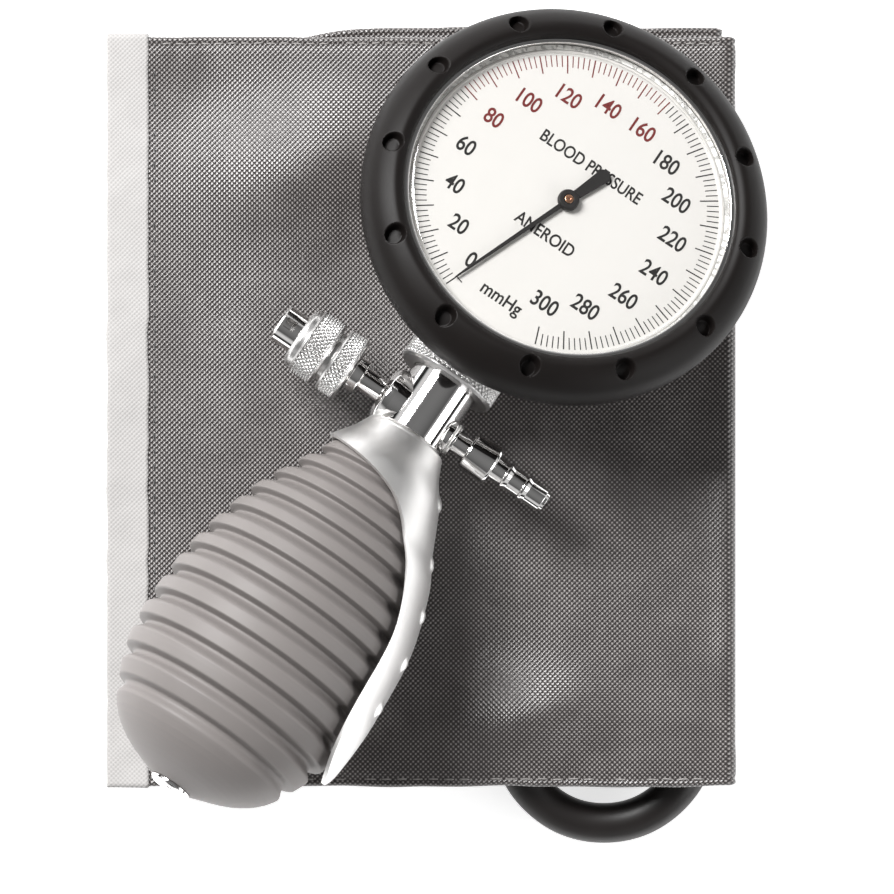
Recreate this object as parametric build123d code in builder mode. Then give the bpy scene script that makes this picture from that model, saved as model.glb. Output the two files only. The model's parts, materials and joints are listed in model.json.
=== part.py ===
from build123d import *
import os
from math import cos, sin, tan, pi, radians

# Palm-type aneroid blood pressure monitor lying on its folded arm cuff.
#
# Row frame, millimetres: the origin is the centre of the folded cuff's underside, +X runs
# across the folded panels, +Y along the cuff's width and +Z is up.  The handset (bulb,
# valve block and gauge) lies on the cuff with its gauge end lower than its bulb end.

# ---- driving dimensions ------------------------------------------------------------
# Folded cuff
panel = 1.6  # nylon shell, two layers with their lining
pocket = 0.8  # room between the two layers for the bladder
bladder_sheet = 0.6
loop_pile = 0.8
hook_pile = 0.5
tape = 0.4  # binding tape, one layer
hose_od = 8.0
hose_id = 4.0
hose_room = 8.8  # free height between the upper and the lower fold
cuff_right = 62.4
cuff_left = -62.6
upper_near, upper_far = -74.5, 74.5  # Y extent of the two upper panels
lower_near, lower_far = -70.0, 77.5  # the two lower panels are folded a little askew

# Handset placing
heading = 55.8  # degrees from +X towards +Y, bulb end to gauge end
dip = 11.5  # degrees, gauge end down
bulb_end_plan = (-48.6, -72.6)
bulb_end_rise = 31.85  # handset axis above the cuff at the bulb's end

# Stations along the handset axis, from the bulb's end
port_at = 88.0  # release valve and hose nipple
block_from, block_to = 83.3, 99.5
nut_from, nut_to = 96.4, 103.2
block_r = 6.9
nut_r = 10.2

# Gauge
recline = 9.0  # degrees, dial plane leaned back from the handset axis
gauge_at, gauge_rise = 136.1, 24.0  # centre of the lens edge from the handset axis
case_r = 32.4
case_wall = 1.0
pan_r = 26.5  # the deeper middle of the case
bumper_r = 40.4
inlet_y = -12.75  # pressure inlet, below the dial's centre
dial_sweep = 320.0  # pointer travel, degrees
zero_angle = 250.0  # zero mark, counter-clockwise from the dial's right
dial_top = -3.3  # below the lens edge

# Movement
module = 0.3
pinion_teeth, sector_teeth = 10, 100
tooth_width = 0.34
running = 0.05  # radial clearance of a running pivot

# ---- frames ------------------------------------------------------------------------
lower_z = loop_pile + panel / 2
inner_z = lower_z + panel + 0.4
under_z = inner_z + panel + hose_room
upper_z = under_z + panel + 0.7
cuff_top = upper_z + panel / 2
hose_z = inner_z + panel / 2 + hose_room / 2

ahead = Vector(cos(radians(dip)) * cos(radians(heading)), cos(radians(dip)) * sin(radians(heading)), -sin(radians(dip)))
right = Vector(sin(radians(heading)), -cos(radians(heading)), 0)
up = right.cross(ahead)
axis_start = Vector(bulb_end_plan[0], bulb_end_plan[1], cuff_top + bulb_end_rise)
handset_axis = Axis(axis_start, ahead)
profile = Plane(origin=axis_start, x_dir=right, z_dir=up)  # x = radius, y = along the axis

normal = up * cos(radians(recline)) + ahead * sin(radians(recline))
gauge_centre = axis_start + ahead * gauge_at + up * gauge_rise
gauge_axis = Axis(gauge_centre, normal)
dial_up = normal.cross(right)
gauge_profile = Plane(origin=gauge_centre, x_dir=right, z_dir=dial_up * -1)  # x = radius, y = height


def station(s):
    """Plane across the handset axis: x is up, y is right."""
    return Plane(origin=axis_start + ahead * s, x_dir=up, z_dir=ahead)


def gauge_plane(height):
    """Plane parallel to the dial, height above the lens edge: y is the dial's top."""
    return Plane(origin=gauge_centre + normal * height, x_dir=right, z_dir=normal)


def gauge_point(x, y, height):
    """A point given in the gauge's own directions."""
    return gauge_centre + right * x + dial_up * y + normal * height


def port_profile(outward):
    """Plane along a side port of the block: x = radius, y = distance from the handset axis."""
    return Plane(origin=axis_start + ahead * port_at, x_dir=ahead, z_dir=ahead.cross(outward))


def port_axis(outward):
    return Axis(axis_start + ahead * port_at, outward)


def across(y):
    """Plane across the cuff at y, seen from -Y: x is X and y is Z; extrusion runs to -Y."""
    return Plane(origin=(0, y, 0), x_dir=(1, 0, 0), z_dir=(0, -1, 0))


def finish(builder, name):
    builder.part.label = name
    export_step(builder.part, f"parts/{name}.step")


os.makedirs("parts", exist_ok=True)
left = right * -1

# ---- cuff: folded nylon shell --------------------------------------------------------
upper_bend = (upper_z - under_z) / 2
left_bend = (under_z - inner_z) / 2
lower_bend = (inner_z - lower_z) / 2
upper_bend_x = cuff_right - upper_bend - panel / 2
lower_bend_x = cuff_right - 2.0 - lower_bend - panel / 2
left_bend_x = cuff_left + left_bend + panel / 2 + 0.2
bladder_left = -40.0
spout_x, spout_y = 17.9, -24.0
bladder_near, bladder_far = -58.0, 67.0

with BuildPart() as cuff_shell:
    with BuildSketch(across(upper_far)):
        with BuildLine():
            Line((cuff_left + tape, upper_z), (upper_bend_x, upper_z))
            CenterArc((upper_bend_x, upper_z - upper_bend), upper_bend, -90, 180)
            Line((upper_bend_x, under_z), (left_bend_x, under_z))
        trace(line_width=panel)
    extrude(amount=upper_far - upper_near)
    with BuildSketch(across(upper_far)):
        with BuildLine():
            CenterArc((left_bend_x, inner_z + left_bend), left_bend, 90, 180)
        trace(line_width=panel)
    extrude(amount=upper_far - lower_near)
    with BuildSketch(across(lower_far)):
        with BuildLine():
            Line((left_bend_x, inner_z), (lower_bend_x, inner_z))
            CenterArc((lower_bend_x, lower_z + lower_bend), lower_bend, -90, 180)
            Line((lower_bend_x, lower_z), (cuff_left + 2.0, lower_z))
        trace(line_width=panel)
    extrude(amount=lower_far - lower_near)
    # the pocket that the bladder lies in, and the slit that its spout comes out of
    with BuildSketch(across(bladder_far + 0.5)):
        with BuildLine():
            Line((bladder_left - 0.5, inner_z), (lower_bend_x, inner_z))
            CenterArc((lower_bend_x, lower_z + lower_bend), lower_bend, -90, 180)
            Line((lower_bend_x, lower_z), (bladder_left - 0.5, lower_z))
        trace(line_width=pocket)
    extrude(amount=bladder_far - bladder_near + 1.0, mode=Mode.SUBTRACT)
    with BuildSketch(Plane.XY.offset(inner_z)):
        with Locations((spout_x, spout_y)):
            Circle(3.1)
    extrude(amount=panel, mode=Mode.SUBTRACT)
finish(cuff_shell, "cuff_shell")

# ---- cuff: bladder, lying in the pocket of the lower fold -----------------------------
with BuildPart() as cuff_bladder:
    with BuildSketch(across(bladder_far)):
        with BuildLine():
            Line((bladder_left, inner_z), (lower_bend_x, inner_z))
            CenterArc((lower_bend_x, lower_z + lower_bend), lower_bend, -90, 180)
            Line((lower_bend_x, lower_z), (bladder_left, lower_z))
        trace(line_width=bladder_sheet)
    extrude(amount=bladder_far - bladder_near)
finish(cuff_bladder, "cuff_bladder")

# ---- cuff: spout moulded on the bladder, with the barb that the hose is pushed on -------
shell_face = inner_z + panel / 2
bladder_face = inner_z + bladder_sheet / 2
hose_start_y = spout_y - 4.4

with BuildPart() as bladder_spout:
    with BuildSketch(Plane.XY.offset(bladder_face)):
        with Locations((spout_x, spout_y)):
            Circle(3.0)
    extrude(amount=shell_face - bladder_face)
    with BuildSketch(Plane.XY.offset(shell_face)):
        with Locations((spout_x, spout_y)):
            Circle(9.0)
    extrude(amount=0.35)
    with BuildSketch(Plane.XY.offset(shell_face)):
        with Locations((spout_x, spout_y)):
            Circle(4.3)
    extrude(amount=hose_room - 0.1)
    with BuildSketch(across(spout_y)):
        with Locations((spout_x, hose_z)):
            Circle(hose_od / 2)
    extrude(amount=spout_y - hose_start_y)
    with BuildSketch(across(hose_start_y)):
        with Locations((spout_x, hose_z)):
            Circle(hose_id / 2)
    extrude(amount=7.4)
    with BuildSketch(across(spout_y)):
        with Locations((spout_x, hose_z)):
            Circle(1.2)
    extrude(amount=20.0, mode=Mode.SUBTRACT)
    with BuildSketch(Plane.XY.offset(bladder_face)):
        with Locations((spout_x, spout_y)):
            Circle(1.2)
    extrude(amount=hose_z - bladder_face, mode=Mode.SUBTRACT)
finish(bladder_spout, "bladder_spout")

# ---- cuff: rubber hose ------------------------------------------------------------------
# Out of the spout, round the free loop in front of the cuff, back between the folds.
loop_centre = (36.45, -63.9)
loop_r = 18.5
loop_z = 6.0  # the loop droops a little towards the table
corner = loop_r * tan(radians(22.5))
hose_route = [
    (spout_x, hose_start_y, hose_z),
    (spout_x, -42.0, hose_z),
    (loop_centre[0] - loop_r + 0.5, -56.5, hose_z + 0.1),
    (loop_centre[0] - loop_r - 0.1, loop_centre[1] - corner, hose_z + 0.1),
    (loop_centre[0] - corner, loop_centre[1] - loop_r, loop_z),
    (loop_centre[0] + corner, loop_centre[1] - loop_r, loop_z),
    (loop_centre[0] + loop_r + 0.1, loop_centre[1] - corner, hose_z + 0.1),
    (loop_centre[0] + loop_r, -56.0, hose_z),
    (55.6, -37.0, hose_z),
    (54.0, -18.0, hose_z),
    (51.5, 1.0, hose_z),
    (47.0, 19.0, hose_z),
    (36.0, 35.5, hose_z),
    (18.0, 42.5, hose_z),
    (0.0, 37.0, hose_z),
    (-11.0, 21.5, hose_z),
    (-13.0, 3.0, hose_z),
]


def bend_radii(points):
    """As large an arc at each corner as its two runs allow."""
    radii = []
    for before, here, after in zip(points, points[1:], points[2:]):
        run_in = Vector(*here) - Vector(*before)
        run_out = Vector(*after) - Vector(*here)
        half_turn = radians(run_in.get_angle(run_out) / 2)
        radii.append(0.45 * min(run_in.length, run_out.length) / tan(half_turn))
    return radii


hose_radii = bend_radii(hose_route)
print("hose bend radii, mm:", [round(r, 1) for r in hose_radii])
with BuildPart() as hose:
    with BuildLine() as hose_line:
        FilletPolyline(*hose_route, radius=hose_radii)
    hose_wire = hose_line.wires()[0]
    with BuildSketch(Plane(origin=hose_wire @ 0, z_dir=hose_wire % 0)):
        Circle(hose_od / 2)
        Circle(hose_id / 2, mode=Mode.SUBTRACT)
    sweep(path=hose_wire)
hose_length = hose_wire.length
wall_section = pi * (hose_od**2 - hose_id**2) / 4
print(f"hose length {hose_length:.1f} mm, volume / (section x length) {hose.part.volume / (wall_section * hose_length):.4f}")
finish(hose, "hose")

# ---- cuff: binding tape, hook and loop patches ---------------------------------------------
tape_width = 8.0
with BuildPart() as edge_binding:
    with BuildSketch(across(upper_far)):
        with Locations((cuff_left + tape_width / 2, upper_z)):
            Rectangle(tape_width, panel + 2 * tape)
        with Locations((cuff_left + tape + tape_width / 2, upper_z)):
            Rectangle(tape_width, panel, mode=Mode.SUBTRACT)
    extrude(amount=upper_far - upper_near)
finish(edge_binding, "edge_binding")

with BuildPart() as hook_patch:
    with BuildSketch(Plane.XY.offset(upper_z - panel / 2 - hook_pile)):
        with Locations((-24.0, 0)):
            Rectangle(50.0, 125.0)
        fillet(vertices(), radius=4.0)
    extrude(amount=hook_pile)
finish(hook_patch, "hook_patch")

with BuildPart() as loop_patch:
    with BuildSketch():
        with Locations((-2.0, 3.0)):
            Rectangle(104.0, 130.0)
        fillet(vertices(), radius=5.0)
    extrude(amount=loop_pile)
finish(loop_patch, "loop_patch")

# ---- bulb --------------------------------------------------------------------------------
neck_r = 4.2
valve_stem_r = 3.2
bulb_outer = [
    (4.9, 0.6), (12.4, 3.6), (17.5, 7.6), (20.8, 13.6), (22.8, 19.0), (23.8, 24.5), (24.1, 31.0), (23.6, 40.5),
    (22.0, 49.4), (19.1, 59.3), (16.2, 65.2), (13.3, 71.1), (11.0, 75.1), (7.6, 79.0),
]
bulb_inner = [
    (neck_r, 67.0), (9.0, 66.0), (14.0, 62.0), (18.8, 52.0), (21.2, 40.0), (21.6, 30.0), (20.0, 19.0), (15.2, 10.6),
    (9.0, 6.2), (valve_stem_r, 4.4),
]
with BuildPart() as bulb:
    with BuildSketch(profile):
        with BuildLine():
            Line((valve_stem_r, 0.6), (4.9, 0.6))
            Spline(*bulb_outer)
            Line((7.6, 79.0), (7.6, 81.1))
            Line((7.6, 81.1), (neck_r, 81.1))
            Line((neck_r, 81.1), (neck_r, 67.0))
            Spline(*bulb_inner)
            Line((valve_stem_r, 4.4), (valve_stem_r, 0.6))
        make_face()
    revolve(axis=handset_axis)
finish(bulb, "bulb")

# ---- intake valve in the bulb's end -----------------------------------------------------------
chamber_r = 2.3
with BuildPart() as intake_valve_body:
    with BuildSketch(profile):
        with BuildLine():
            Polyline(
                (1.2, -0.2), (3.4, -0.5), (4.0, -0.3), (4.3, 0.1), (4.3, 0.6), (valve_stem_r, 0.6),
                (valve_stem_r, 9.0), (chamber_r, 9.0), (chamber_r, 2.0), (1.2, 2.0), close=True,
            )
        make_face()
    revolve(axis=handset_axis)
finish(intake_valve_body, "intake_valve_body")

with BuildPart() as intake_disc:
    with BuildSketch(station(2.02)):
        Circle(chamber_r - 0.2)
    extrude(amount=0.8)
finish(intake_disc, "intake_disc")

with BuildPart() as intake_cage:
    with BuildSketch(station(4.4)):
        Circle(chamber_r)
        with PolarLocations(1.35, 3):
            Circle(0.55, mode=Mode.SUBTRACT)
    extrude(amount=0.8)
finish(intake_cage, "intake_cage")

# ---- bulb connector and outlet valve -------------------------------------------------------------
spigot_r = 4.3
outlet_r = 2.6
with BuildPart() as bulb_connector:
    with BuildSketch(profile):
        with BuildLine():
            Polyline(
                (1.4, 66.0), (neck_r - 0.6, 66.0), (neck_r, 67.0), (neck_r, 81.2), (7.0, 81.2), (7.0, 82.3),
                (spigot_r, 82.3), (spigot_r, 85.6), (outlet_r, 85.6), (outlet_r, 74.0), (1.4, 74.0), close=True,
            )
        make_face()
    revolve(axis=handset_axis)
finish(bulb_connector, "bulb_connector")

with BuildPart() as outlet_disc:
    with BuildSketch(station(74.02)):
        Circle(outlet_r - 0.2)
    extrude(amount=0.8)
finish(outlet_disc, "outlet_disc")

with BuildPart() as outlet_cage:
    with BuildSketch(station(76.4)):
        Circle(outlet_r)
        with PolarLocations(1.55, 3):
            Circle(0.6, mode=Mode.SUBTRACT)
    extrude(amount=0.8)
finish(outlet_cage, "outlet_cage")

# ---- spoon handle: collar and blade pressed from one sheet ------------------------------------------
sheet = 0.8
blade_angle = 14.0  # the blade's middle, above the right-hand side
blade_out = right * cos(radians(blade_angle)) + up * sin(radians(blade_angle))
blade_face = Plane(origin=axis_start, x_dir=ahead.cross(blade_out), z_dir=blade_out)
blade_side = Plane(origin=axis_start, x_dir=blade_out, z_dir=blade_out.cross(ahead))
spoon_outer = [(25.2, 15.0), (26.0, 26.0), (25.9, 34.0), (24.6, 47.4), (20.9, 59.3), (17.7, 65.2), (14.9, 71.1), (12.9, 75.1), (10.2, 79.0), (8.5, 82.4)]
spoon_inner = [(r - sheet, s) for r, s in spoon_outer[::-1]]

with BuildPart() as blade_keep:
    # seen square to the blade: a long tongue that widens into the collar
    with BuildSketch(blade_face):
        with BuildLine():
            Spline((0, 16.2), (2.6, 16.9), (5.4, 19.4), (8.6, 26.5), (9.7, 37.0), (9.6, 48.0), (11.2, 60.0), (13.2, 68.5), (19.0, 73.0))
            Spline((0, 16.2), (-2.6, 16.9), (-5.4, 19.4), (-8.6, 26.5), (-9.7, 37.0), (-9.6, 48.0), (-11.2, 60.0), (-13.2, 68.5), (-19.0, 73.0))
            Polyline((19.0, 73.0), (19.0, 90.0), (-19.0, 90.0), (-19.0, 73.0))
        make_face()
    extrude(amount=40.0)
    # seen from the side: the collar's slanting lower rim
    with BuildSketch(blade_side):
        with BuildLine():
            Polyline((-20.0, 76.3), (1.0, 72.6), (1.0, 90.0), (-20.0, 90.0), close=True)
        make_face()
    extrude(amount=40.0, both=True)

with BuildPart() as spoon_handle:
    with BuildSketch(profile):
        with BuildLine():
            outer_edge = Spline(*spoon_outer)
            Line(spoon_outer[-1], (8.5, 83.2))
            Line((8.5, 83.2), (spigot_r + running, 83.2))
            Line((spigot_r + running, 83.2), (spigot_r + running, 82.4))
            Line((spigot_r + running, 82.4), spoon_inner[0])
            inner_edge = Spline(*spoon_inner)
            Line(spoon_inner[-1], spoon_outer[0])
        make_face()
    revolve(axis=handset_axis)
    add(blade_keep.part, mode=Mode.INTERSECT)
    # raised grip bumps down the blade's middle
    for index in range(5):
        bump_at = 34.5 + 9.6 * index
        surface_r = [25.85, 25.0, 22.8, 18.6, 13.9][index]
        with Locations(Location(axis_start + ahead * bump_at + blade_out * (surface_r - 1.3))):
            Sphere(1.75)
    with BuildSketch(profile):
        with BuildLine():
            Spline(*spoon_inner)
            Polyline(spoon_inner[-1], (0, spoon_inner[-1][1]), (0, 82.4), spoon_inner[0])
        make_face()
    revolve(axis=handset_axis, mode=Mode.SUBTRACT)
finish(spoon_handle, "spoon_handle")

# ---- valve block ---------------------------------------------------------------------------------------
boss_r = 6.2
boss_out = 9.2
housing_r = 2.35
nipple_r = 2.25
with BuildPart() as valve_block:
    with BuildSketch(profile):
        with BuildLine():
            Polyline((0, block_from), (block_r, block_from), (block_r, nut_from + 1.1), (8.0, nut_from + 1.1), (8.0, block_to), (0, block_to), close=True)
        make_face()
    revolve(axis=handset_axis)
    with BuildSketch(port_profile(left)):
        with BuildLine():
            Line((0, 0), (boss_r, 0))
            Line((boss_r, 0), (boss_r, boss_out - 1.6))
            ThreePointArc((boss_r, boss_out - 1.6), (boss_r - 0.5, boss_out - 0.5), (boss_r - 1.6, boss_out))
            Line((boss_r - 1.6, boss_out), (0, boss_out))
            Line((0, boss_out), (0, 0))
        make_face()
    revolve(axis=port_axis(left))
    with BuildSketch(port_profile(right)):
        with Locations((1.9, 3.6)):
            Rectangle(3.8, 7.2)
    revolve(axis=port_axis(right))
    # spigot socket, air way, seat for the stem seal
    with BuildSketch(profile):
        with BuildLine():
            Polyline(
                (0, 79.0), (14.0, 79.0), (14.0, block_from), (spigot_r, block_from), (spigot_r, 85.6), (1.3, 85.6),
                (1.3, block_to), (0, block_to), close=True,
            )
        make_face()
    revolve(axis=handset_axis, mode=Mode.SUBTRACT)
    with BuildSketch(port_profile(left)):
        with BuildLine():
            Polyline((0, 0), (0.8, 0), (0.8, 5.0), (housing_r, 5.0), (housing_r, boss_out), (0, boss_out), close=True)
        make_face()
    revolve(axis=port_axis(left), mode=Mode.SUBTRACT)
    with BuildSketch(port_profile(right)):
        with BuildLine():
            Polyline((0, 0), (1.2, 0), (1.2, 3.6), (nipple_r, 3.6), (nipple_r, 7.2), (0, 7.2), close=True)
        make_face()
    revolve(axis=port_axis(right), mode=Mode.SUBTRACT)
finish(valve_block, "valve_block")

# ---- release valve ------------------------------------------------------------------------------------------
needle_r = 1.5
with BuildPart() as release_valve_housing:
    with BuildSketch(port_profile(left)):
        with BuildLine():
            Polyline(
                (0.8, 5.0), (housing_r, 5.0), (housing_r, 13.9), (3.55, 13.9), (3.55, 16.1), (3.1, 16.1), (3.1, 19.6),
                (needle_r + running, 19.6), (needle_r + running, 16.6), (2.1, 16.6), (2.1, 11.0), (needle_r + running, 11.0),
                (needle_r + running, 6.9), (0.8, 6.7), close=True,
            )
        make_face()
    revolve(axis=port_axis(left))
finish(release_valve_housing, "release_valve_housing")

with BuildPart() as valve_packing:
    with BuildSketch(port_profile(left)):
        with Locations(((needle_r + 0.04 + 2.05) / 2, 12.6)):
            Rectangle(2.05 - needle_r - 0.04, 1.2)
    revolve(axis=port_axis(left))
finish(valve_packing, "valve_packing")

with BuildPart() as valve_needle:
    with BuildSketch(port_profile(left)):
        with BuildLine():
            Polyline((0, 7.0), (0.5, 7.0), (needle_r, 8.8), (needle_r, 31.0), (0, 31.0), close=True)
        make_face()
    revolve(axis=port_axis(left))
finish(valve_needle, "valve_needle")

knob_r = 6.85
with BuildPart() as release_knob:
    with BuildSketch(port_profile(left)):
        with BuildLine():
            Polyline(
                (3.4, 16.4), (knob_r - 0.5, 16.4), (knob_r, 16.8), (knob_r, 20.4), (knob_r - 0.3, 20.6), (5.7, 20.6),
                (5.7, 22.2), (knob_r - 0.3, 22.2), (knob_r, 22.4), (knob_r, 26.9), (6.2, 27.1), (6.2, 28.2), (5.2, 28.9),
                (needle_r, 28.9), (needle_r, 21.9), (3.4, 21.9), close=True,
            )
        make_face()
    revolve(axis=port_axis(left))
finish(release_knob, "release_knob")

with BuildPart() as knob_end_cap:
    with BuildSketch(port_profile(left)):
        with BuildLine():
            Polyline((needle_r, 28.9), (3.95, 28.9), (3.95, 33.0), (3.5, 33.4), (0, 33.4), (0, 31.0), (needle_r, 31.0), close=True)
        make_face()
    revolve(axis=port_axis(left))
    # air escapes through two windows in the cap
    with BuildSketch(Plane(origin=axis_start + ahead * port_at + left * 31.3, x_dir=ahead, z_dir=up)):
        Rectangle(2.2, 2.2)
    extrude(amount=6.0, both=True, mode=Mode.SUBTRACT)
    with BuildSketch(port_profile(left)):
        with BuildLine():
            Polyline((0, 31.0), (needle_r, 31.0), (needle_r, 32.6), (0, 32.6), close=True)
        make_face()
    revolve(axis=port_axis(left))
finish(knob_end_cap, "knob_end_cap")

# ---- hose nipple ---------------------------------------------------------------------------------------------
tube_r = 2.45
barb_r = 2.85
with BuildPart() as hose_nipple:
    with BuildSketch(port_profile(right)):
        with BuildLine():
            Polyline(
                (1.2, 3.6), (nipple_r, 3.6), (nipple_r, 7.6), (3.5, 7.6), (3.5, 8.1), (nipple_r, 8.1), (nipple_r, 11.2),
                (3.5, 11.2), (3.8, 11.5), (4.25, 16.9), (4.0, 17.3), (tube_r, 17.3), (tube_r, 19.9), (barb_r, 20.0),
                (tube_r, 21.2), (tube_r, 24.1), (barb_r, 24.2), (tube_r, 25.4), (tube_r, 28.9), (2.1, 28.9), (2.0, 29.6),
                (1.2, 29.6), close=True,
            )
        make_face()
    revolve(axis=port_axis(right))
finish(hose_nipple, "hose_nipple")

with BuildPart() as nipple_washer:
    with BuildSketch(port_profile(right)):
        with Locations(((nipple_r + 3.3) / 2, 7.4)):
            Rectangle(3.3 - nipple_r, 0.4)
    revolve(axis=port_axis(right))
finish(nipple_washer, "nipple_washer")

# ---- union nut, seal and inlet stem ---------------------------------------------------------------------------
hub_r = 8.2
with BuildPart() as union_nut:
    with BuildSketch(profile):
        with BuildLine():
            Polyline(
                (block_r + 0.1, nut_from), (nut_r - 0.4, nut_from), (nut_r, nut_from + 0.4), (nut_r, nut_to - 0.4),
                (nut_r - 0.4, nut_to), (hub_r, nut_to), (hub_r, nut_from + 1.05), (block_r + 0.1, nut_from + 1.05), close=True,
            )
        make_face()
    revolve(axis=handset_axis)
finish(union_nut, "union_nut")

with BuildPart() as stem_seal:
    with BuildSketch(station(block_to)):
        Circle(7.6)
        Circle(2.5, mode=Mode.SUBTRACT)
    extrude(amount=0.4)
finish(stem_seal, "stem_seal")

case_back = -19.0
arm_r = 5.2
riser_foot = gauge_point(0, inlet_y, case_back)
arm_end = (riser_foot - axis_start).dot(ahead) - (riser_foot - axis_start).dot(up) * tan(radians(recline))
riser_height = (riser_foot - axis_start).dot(up) / cos(radians(recline))
with BuildPart() as inlet_stem:
    with BuildSketch(station(block_to + 0.4)):
        Circle(hub_r)
    extrude(amount=5.1)
    with BuildSketch(station(block_to + 5.5)):
        Circle(arm_r)
    extrude(amount=arm_end - block_to - 5.5)
    with Locations(Location(axis_start + ahead * arm_end)):
        Sphere(arm_r)
    with BuildSketch(gauge_plane(case_back)):
        with Locations((0, inlet_y)):
            Circle(arm_r)
    extrude(amount=-riser_height)
    with BuildSketch(gauge_plane(case_back)):
        with Locations((0, inlet_y)):
            Circle(9.0)
    extrude(amount=-1.6)
    with BuildSketch(station(block_to)):
        Circle(1.3)
    extrude(amount=arm_end - block_to, mode=Mode.SUBTRACT)
    with BuildSketch(gauge_plane(case_back)):
        with Locations((0, inlet_y)):
            Circle(1.3)
    extrude(amount=-riser_height, mode=Mode.SUBTRACT)
    with BuildSketch(gauge_plane(case_back)):
        with Locations((0, inlet_y)):
            with PolarLocations(7.1, 3, start_angle=90):
                Circle(0.85)
    extrude(amount=-1.6, mode=Mode.SUBTRACT)
finish(inlet_stem, "inlet_stem")

with BuildPart() as stem_screws:
    with BuildSketch(gauge_plane(case_back + case_wall)):
        with Locations((0, inlet_y)):
            with PolarLocations(7.1, 3, start_angle=90):
                Circle(0.85)
    extrude(amount=-(case_wall + 1.6))
    with BuildSketch(gauge_plane(case_back - 1.6)):
        with Locations((0, inlet_y)):
            with PolarLocations(7.1, 3, start_angle=90):
                Circle(1.5)
    extrude(amount=-1.0)
finish(stem_screws, "stem_screws")

# ---- gauge case, bumper, bezel, lens ------------------------------------------------------------------------------
ledge = -13.4
rim_top = -3.2
with BuildPart() as gauge_case:
    with BuildSketch(gauge_profile):
        with BuildLine():
            Polyline(
                (0, case_back), (pan_r - 1.5, case_back), (pan_r, case_back + 1.5), (pan_r, ledge - case_wall), (case_r - 0.8, ledge - case_wall),
                (case_r, ledge - 0.2), (case_r, rim_top), (case_r - case_wall, rim_top), (case_r - case_wall, ledge), (pan_r - case_wall, ledge),
                (pan_r - case_wall, case_back + 1.5), (pan_r - 1.5, case_back + case_wall), (0, case_back + case_wall), close=True,
            )
        make_face()
    revolve(axis=gauge_axis)
    with BuildSketch(gauge_plane(case_back)):
        with Locations((0, inlet_y)):
            Circle(1.3)
            with PolarLocations(7.1, 3, start_angle=90):
                Circle(0.85)
    extrude(amount=case_wall, mode=Mode.SUBTRACT)
finish(gauge_case, "gauge_case")

with BuildPart() as rubber_bumper:
    with BuildSketch(gauge_profile):
        with BuildLine():
            Line((32.8, -0.35), (32.8, 0.1))
            Spline((32.8, 0.1), (34.6, 1.5), (37.6, 0.2), (39.7, -2.2), (bumper_r, -4.7), tangents=((0.6, 1.0), (0.0, -1.0)))
            Spline((bumper_r, -4.7), (39.8, -9.2), (37.4, -12.6), (34.6, -13.5), tangents=((0.0, -1.0), (-1.0, 0.0)))
            Polyline((34.6, -13.5), (case_r, -13.5), (case_r, -7.5), (33.3, -7.5), (33.3, -0.35), (32.8, -0.35))
        make_face()
    revolve(axis=gauge_axis)
    # twelve round dimples in the front shoulder
    with BuildSketch(gauge_plane(-0.9)):
        with PolarLocations(36.2, 12, start_angle=16):
            Circle(1.85)
    extrude(amount=4.0, mode=Mode.SUBTRACT)
finish(rubber_bumper, "rubber_bumper")

with BuildPart() as bezel_ring:
    with BuildSketch(gauge_profile):
        with BuildLine():
            Polyline((case_r, -7.4), (33.25, -7.4), (33.25, -0.4), (31.95, -0.4), (31.95, -0.9), (case_r, -1.0), close=True)
        make_face()
    revolve(axis=gauge_axis)
finish(bezel_ring, "bezel_ring")

lens_in = 30.6
with BuildPart() as lens_gasket:
    with BuildSketch(gauge_plane(rim_top)):
        Circle(case_r - 0.05)
        Circle(case_r - case_wall, mode=Mode.SUBTRACT)
    extrude(amount=0.3)
finish(lens_gasket, "lens_gasket")

with BuildPart() as lens:
    with BuildSketch(gauge_profile):
        with BuildLine():
            Line((lens_in, -2.9), (case_r - 0.05, -2.9))
            Line((case_r - 0.05, -2.9), (case_r - 0.05, -1.05))
            Line((case_r - 0.05, -1.05), (31.9, -0.95))
            ThreePointArc((31.9, -0.95), (31.4, -0.25), (30.4, 0.0))
            Spline((30.4, 0.0), (23.0, 0.43), (15.3, 0.75), (8.0, 0.93), (0, 1.0))
            Line((0, 1.0), (0, -0.4))
            Spline((0, -0.4), (8.0, -0.47), (15.0, -0.65), (23.0, -0.98), (29.6, -1.4))
            Line((29.6, -1.4), (lens_in, -2.4))
            Line((lens_in, -2.4), (lens_in, -2.9))
        make_face()
    revolve(axis=gauge_axis)
finish(lens, "lens")

# ---- dial -----------------------------------------------------------------------------------------------------------
with BuildPart() as dial_plate:
    with BuildSketch(gauge_plane(dial_top)):
        Circle(31.0)
        Circle(1.3, mode=Mode.SUBTRACT)
    extrude(amount=-0.5)
finish(dial_plate, "dial_plate")

# ---- movement: base plate, pillars, bridge ----------------------------------------------------------------------------
base_top = ledge + 0.8
bridge_low, bridge_high = -6.6, -5.8
centre_distance = module * (pinion_teeth + sector_teeth) / 2
sector_x, sector_y = -14.9, -7.09
rocker_y, rocker_height = -7.75, -11.6
rocker_r = 0.7
pillar_places = [(16.0, 11.0), (-12.0, 16.5), (10.0, -18.5)]
arbor_r = 0.45
staff_r = 0.5

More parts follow.
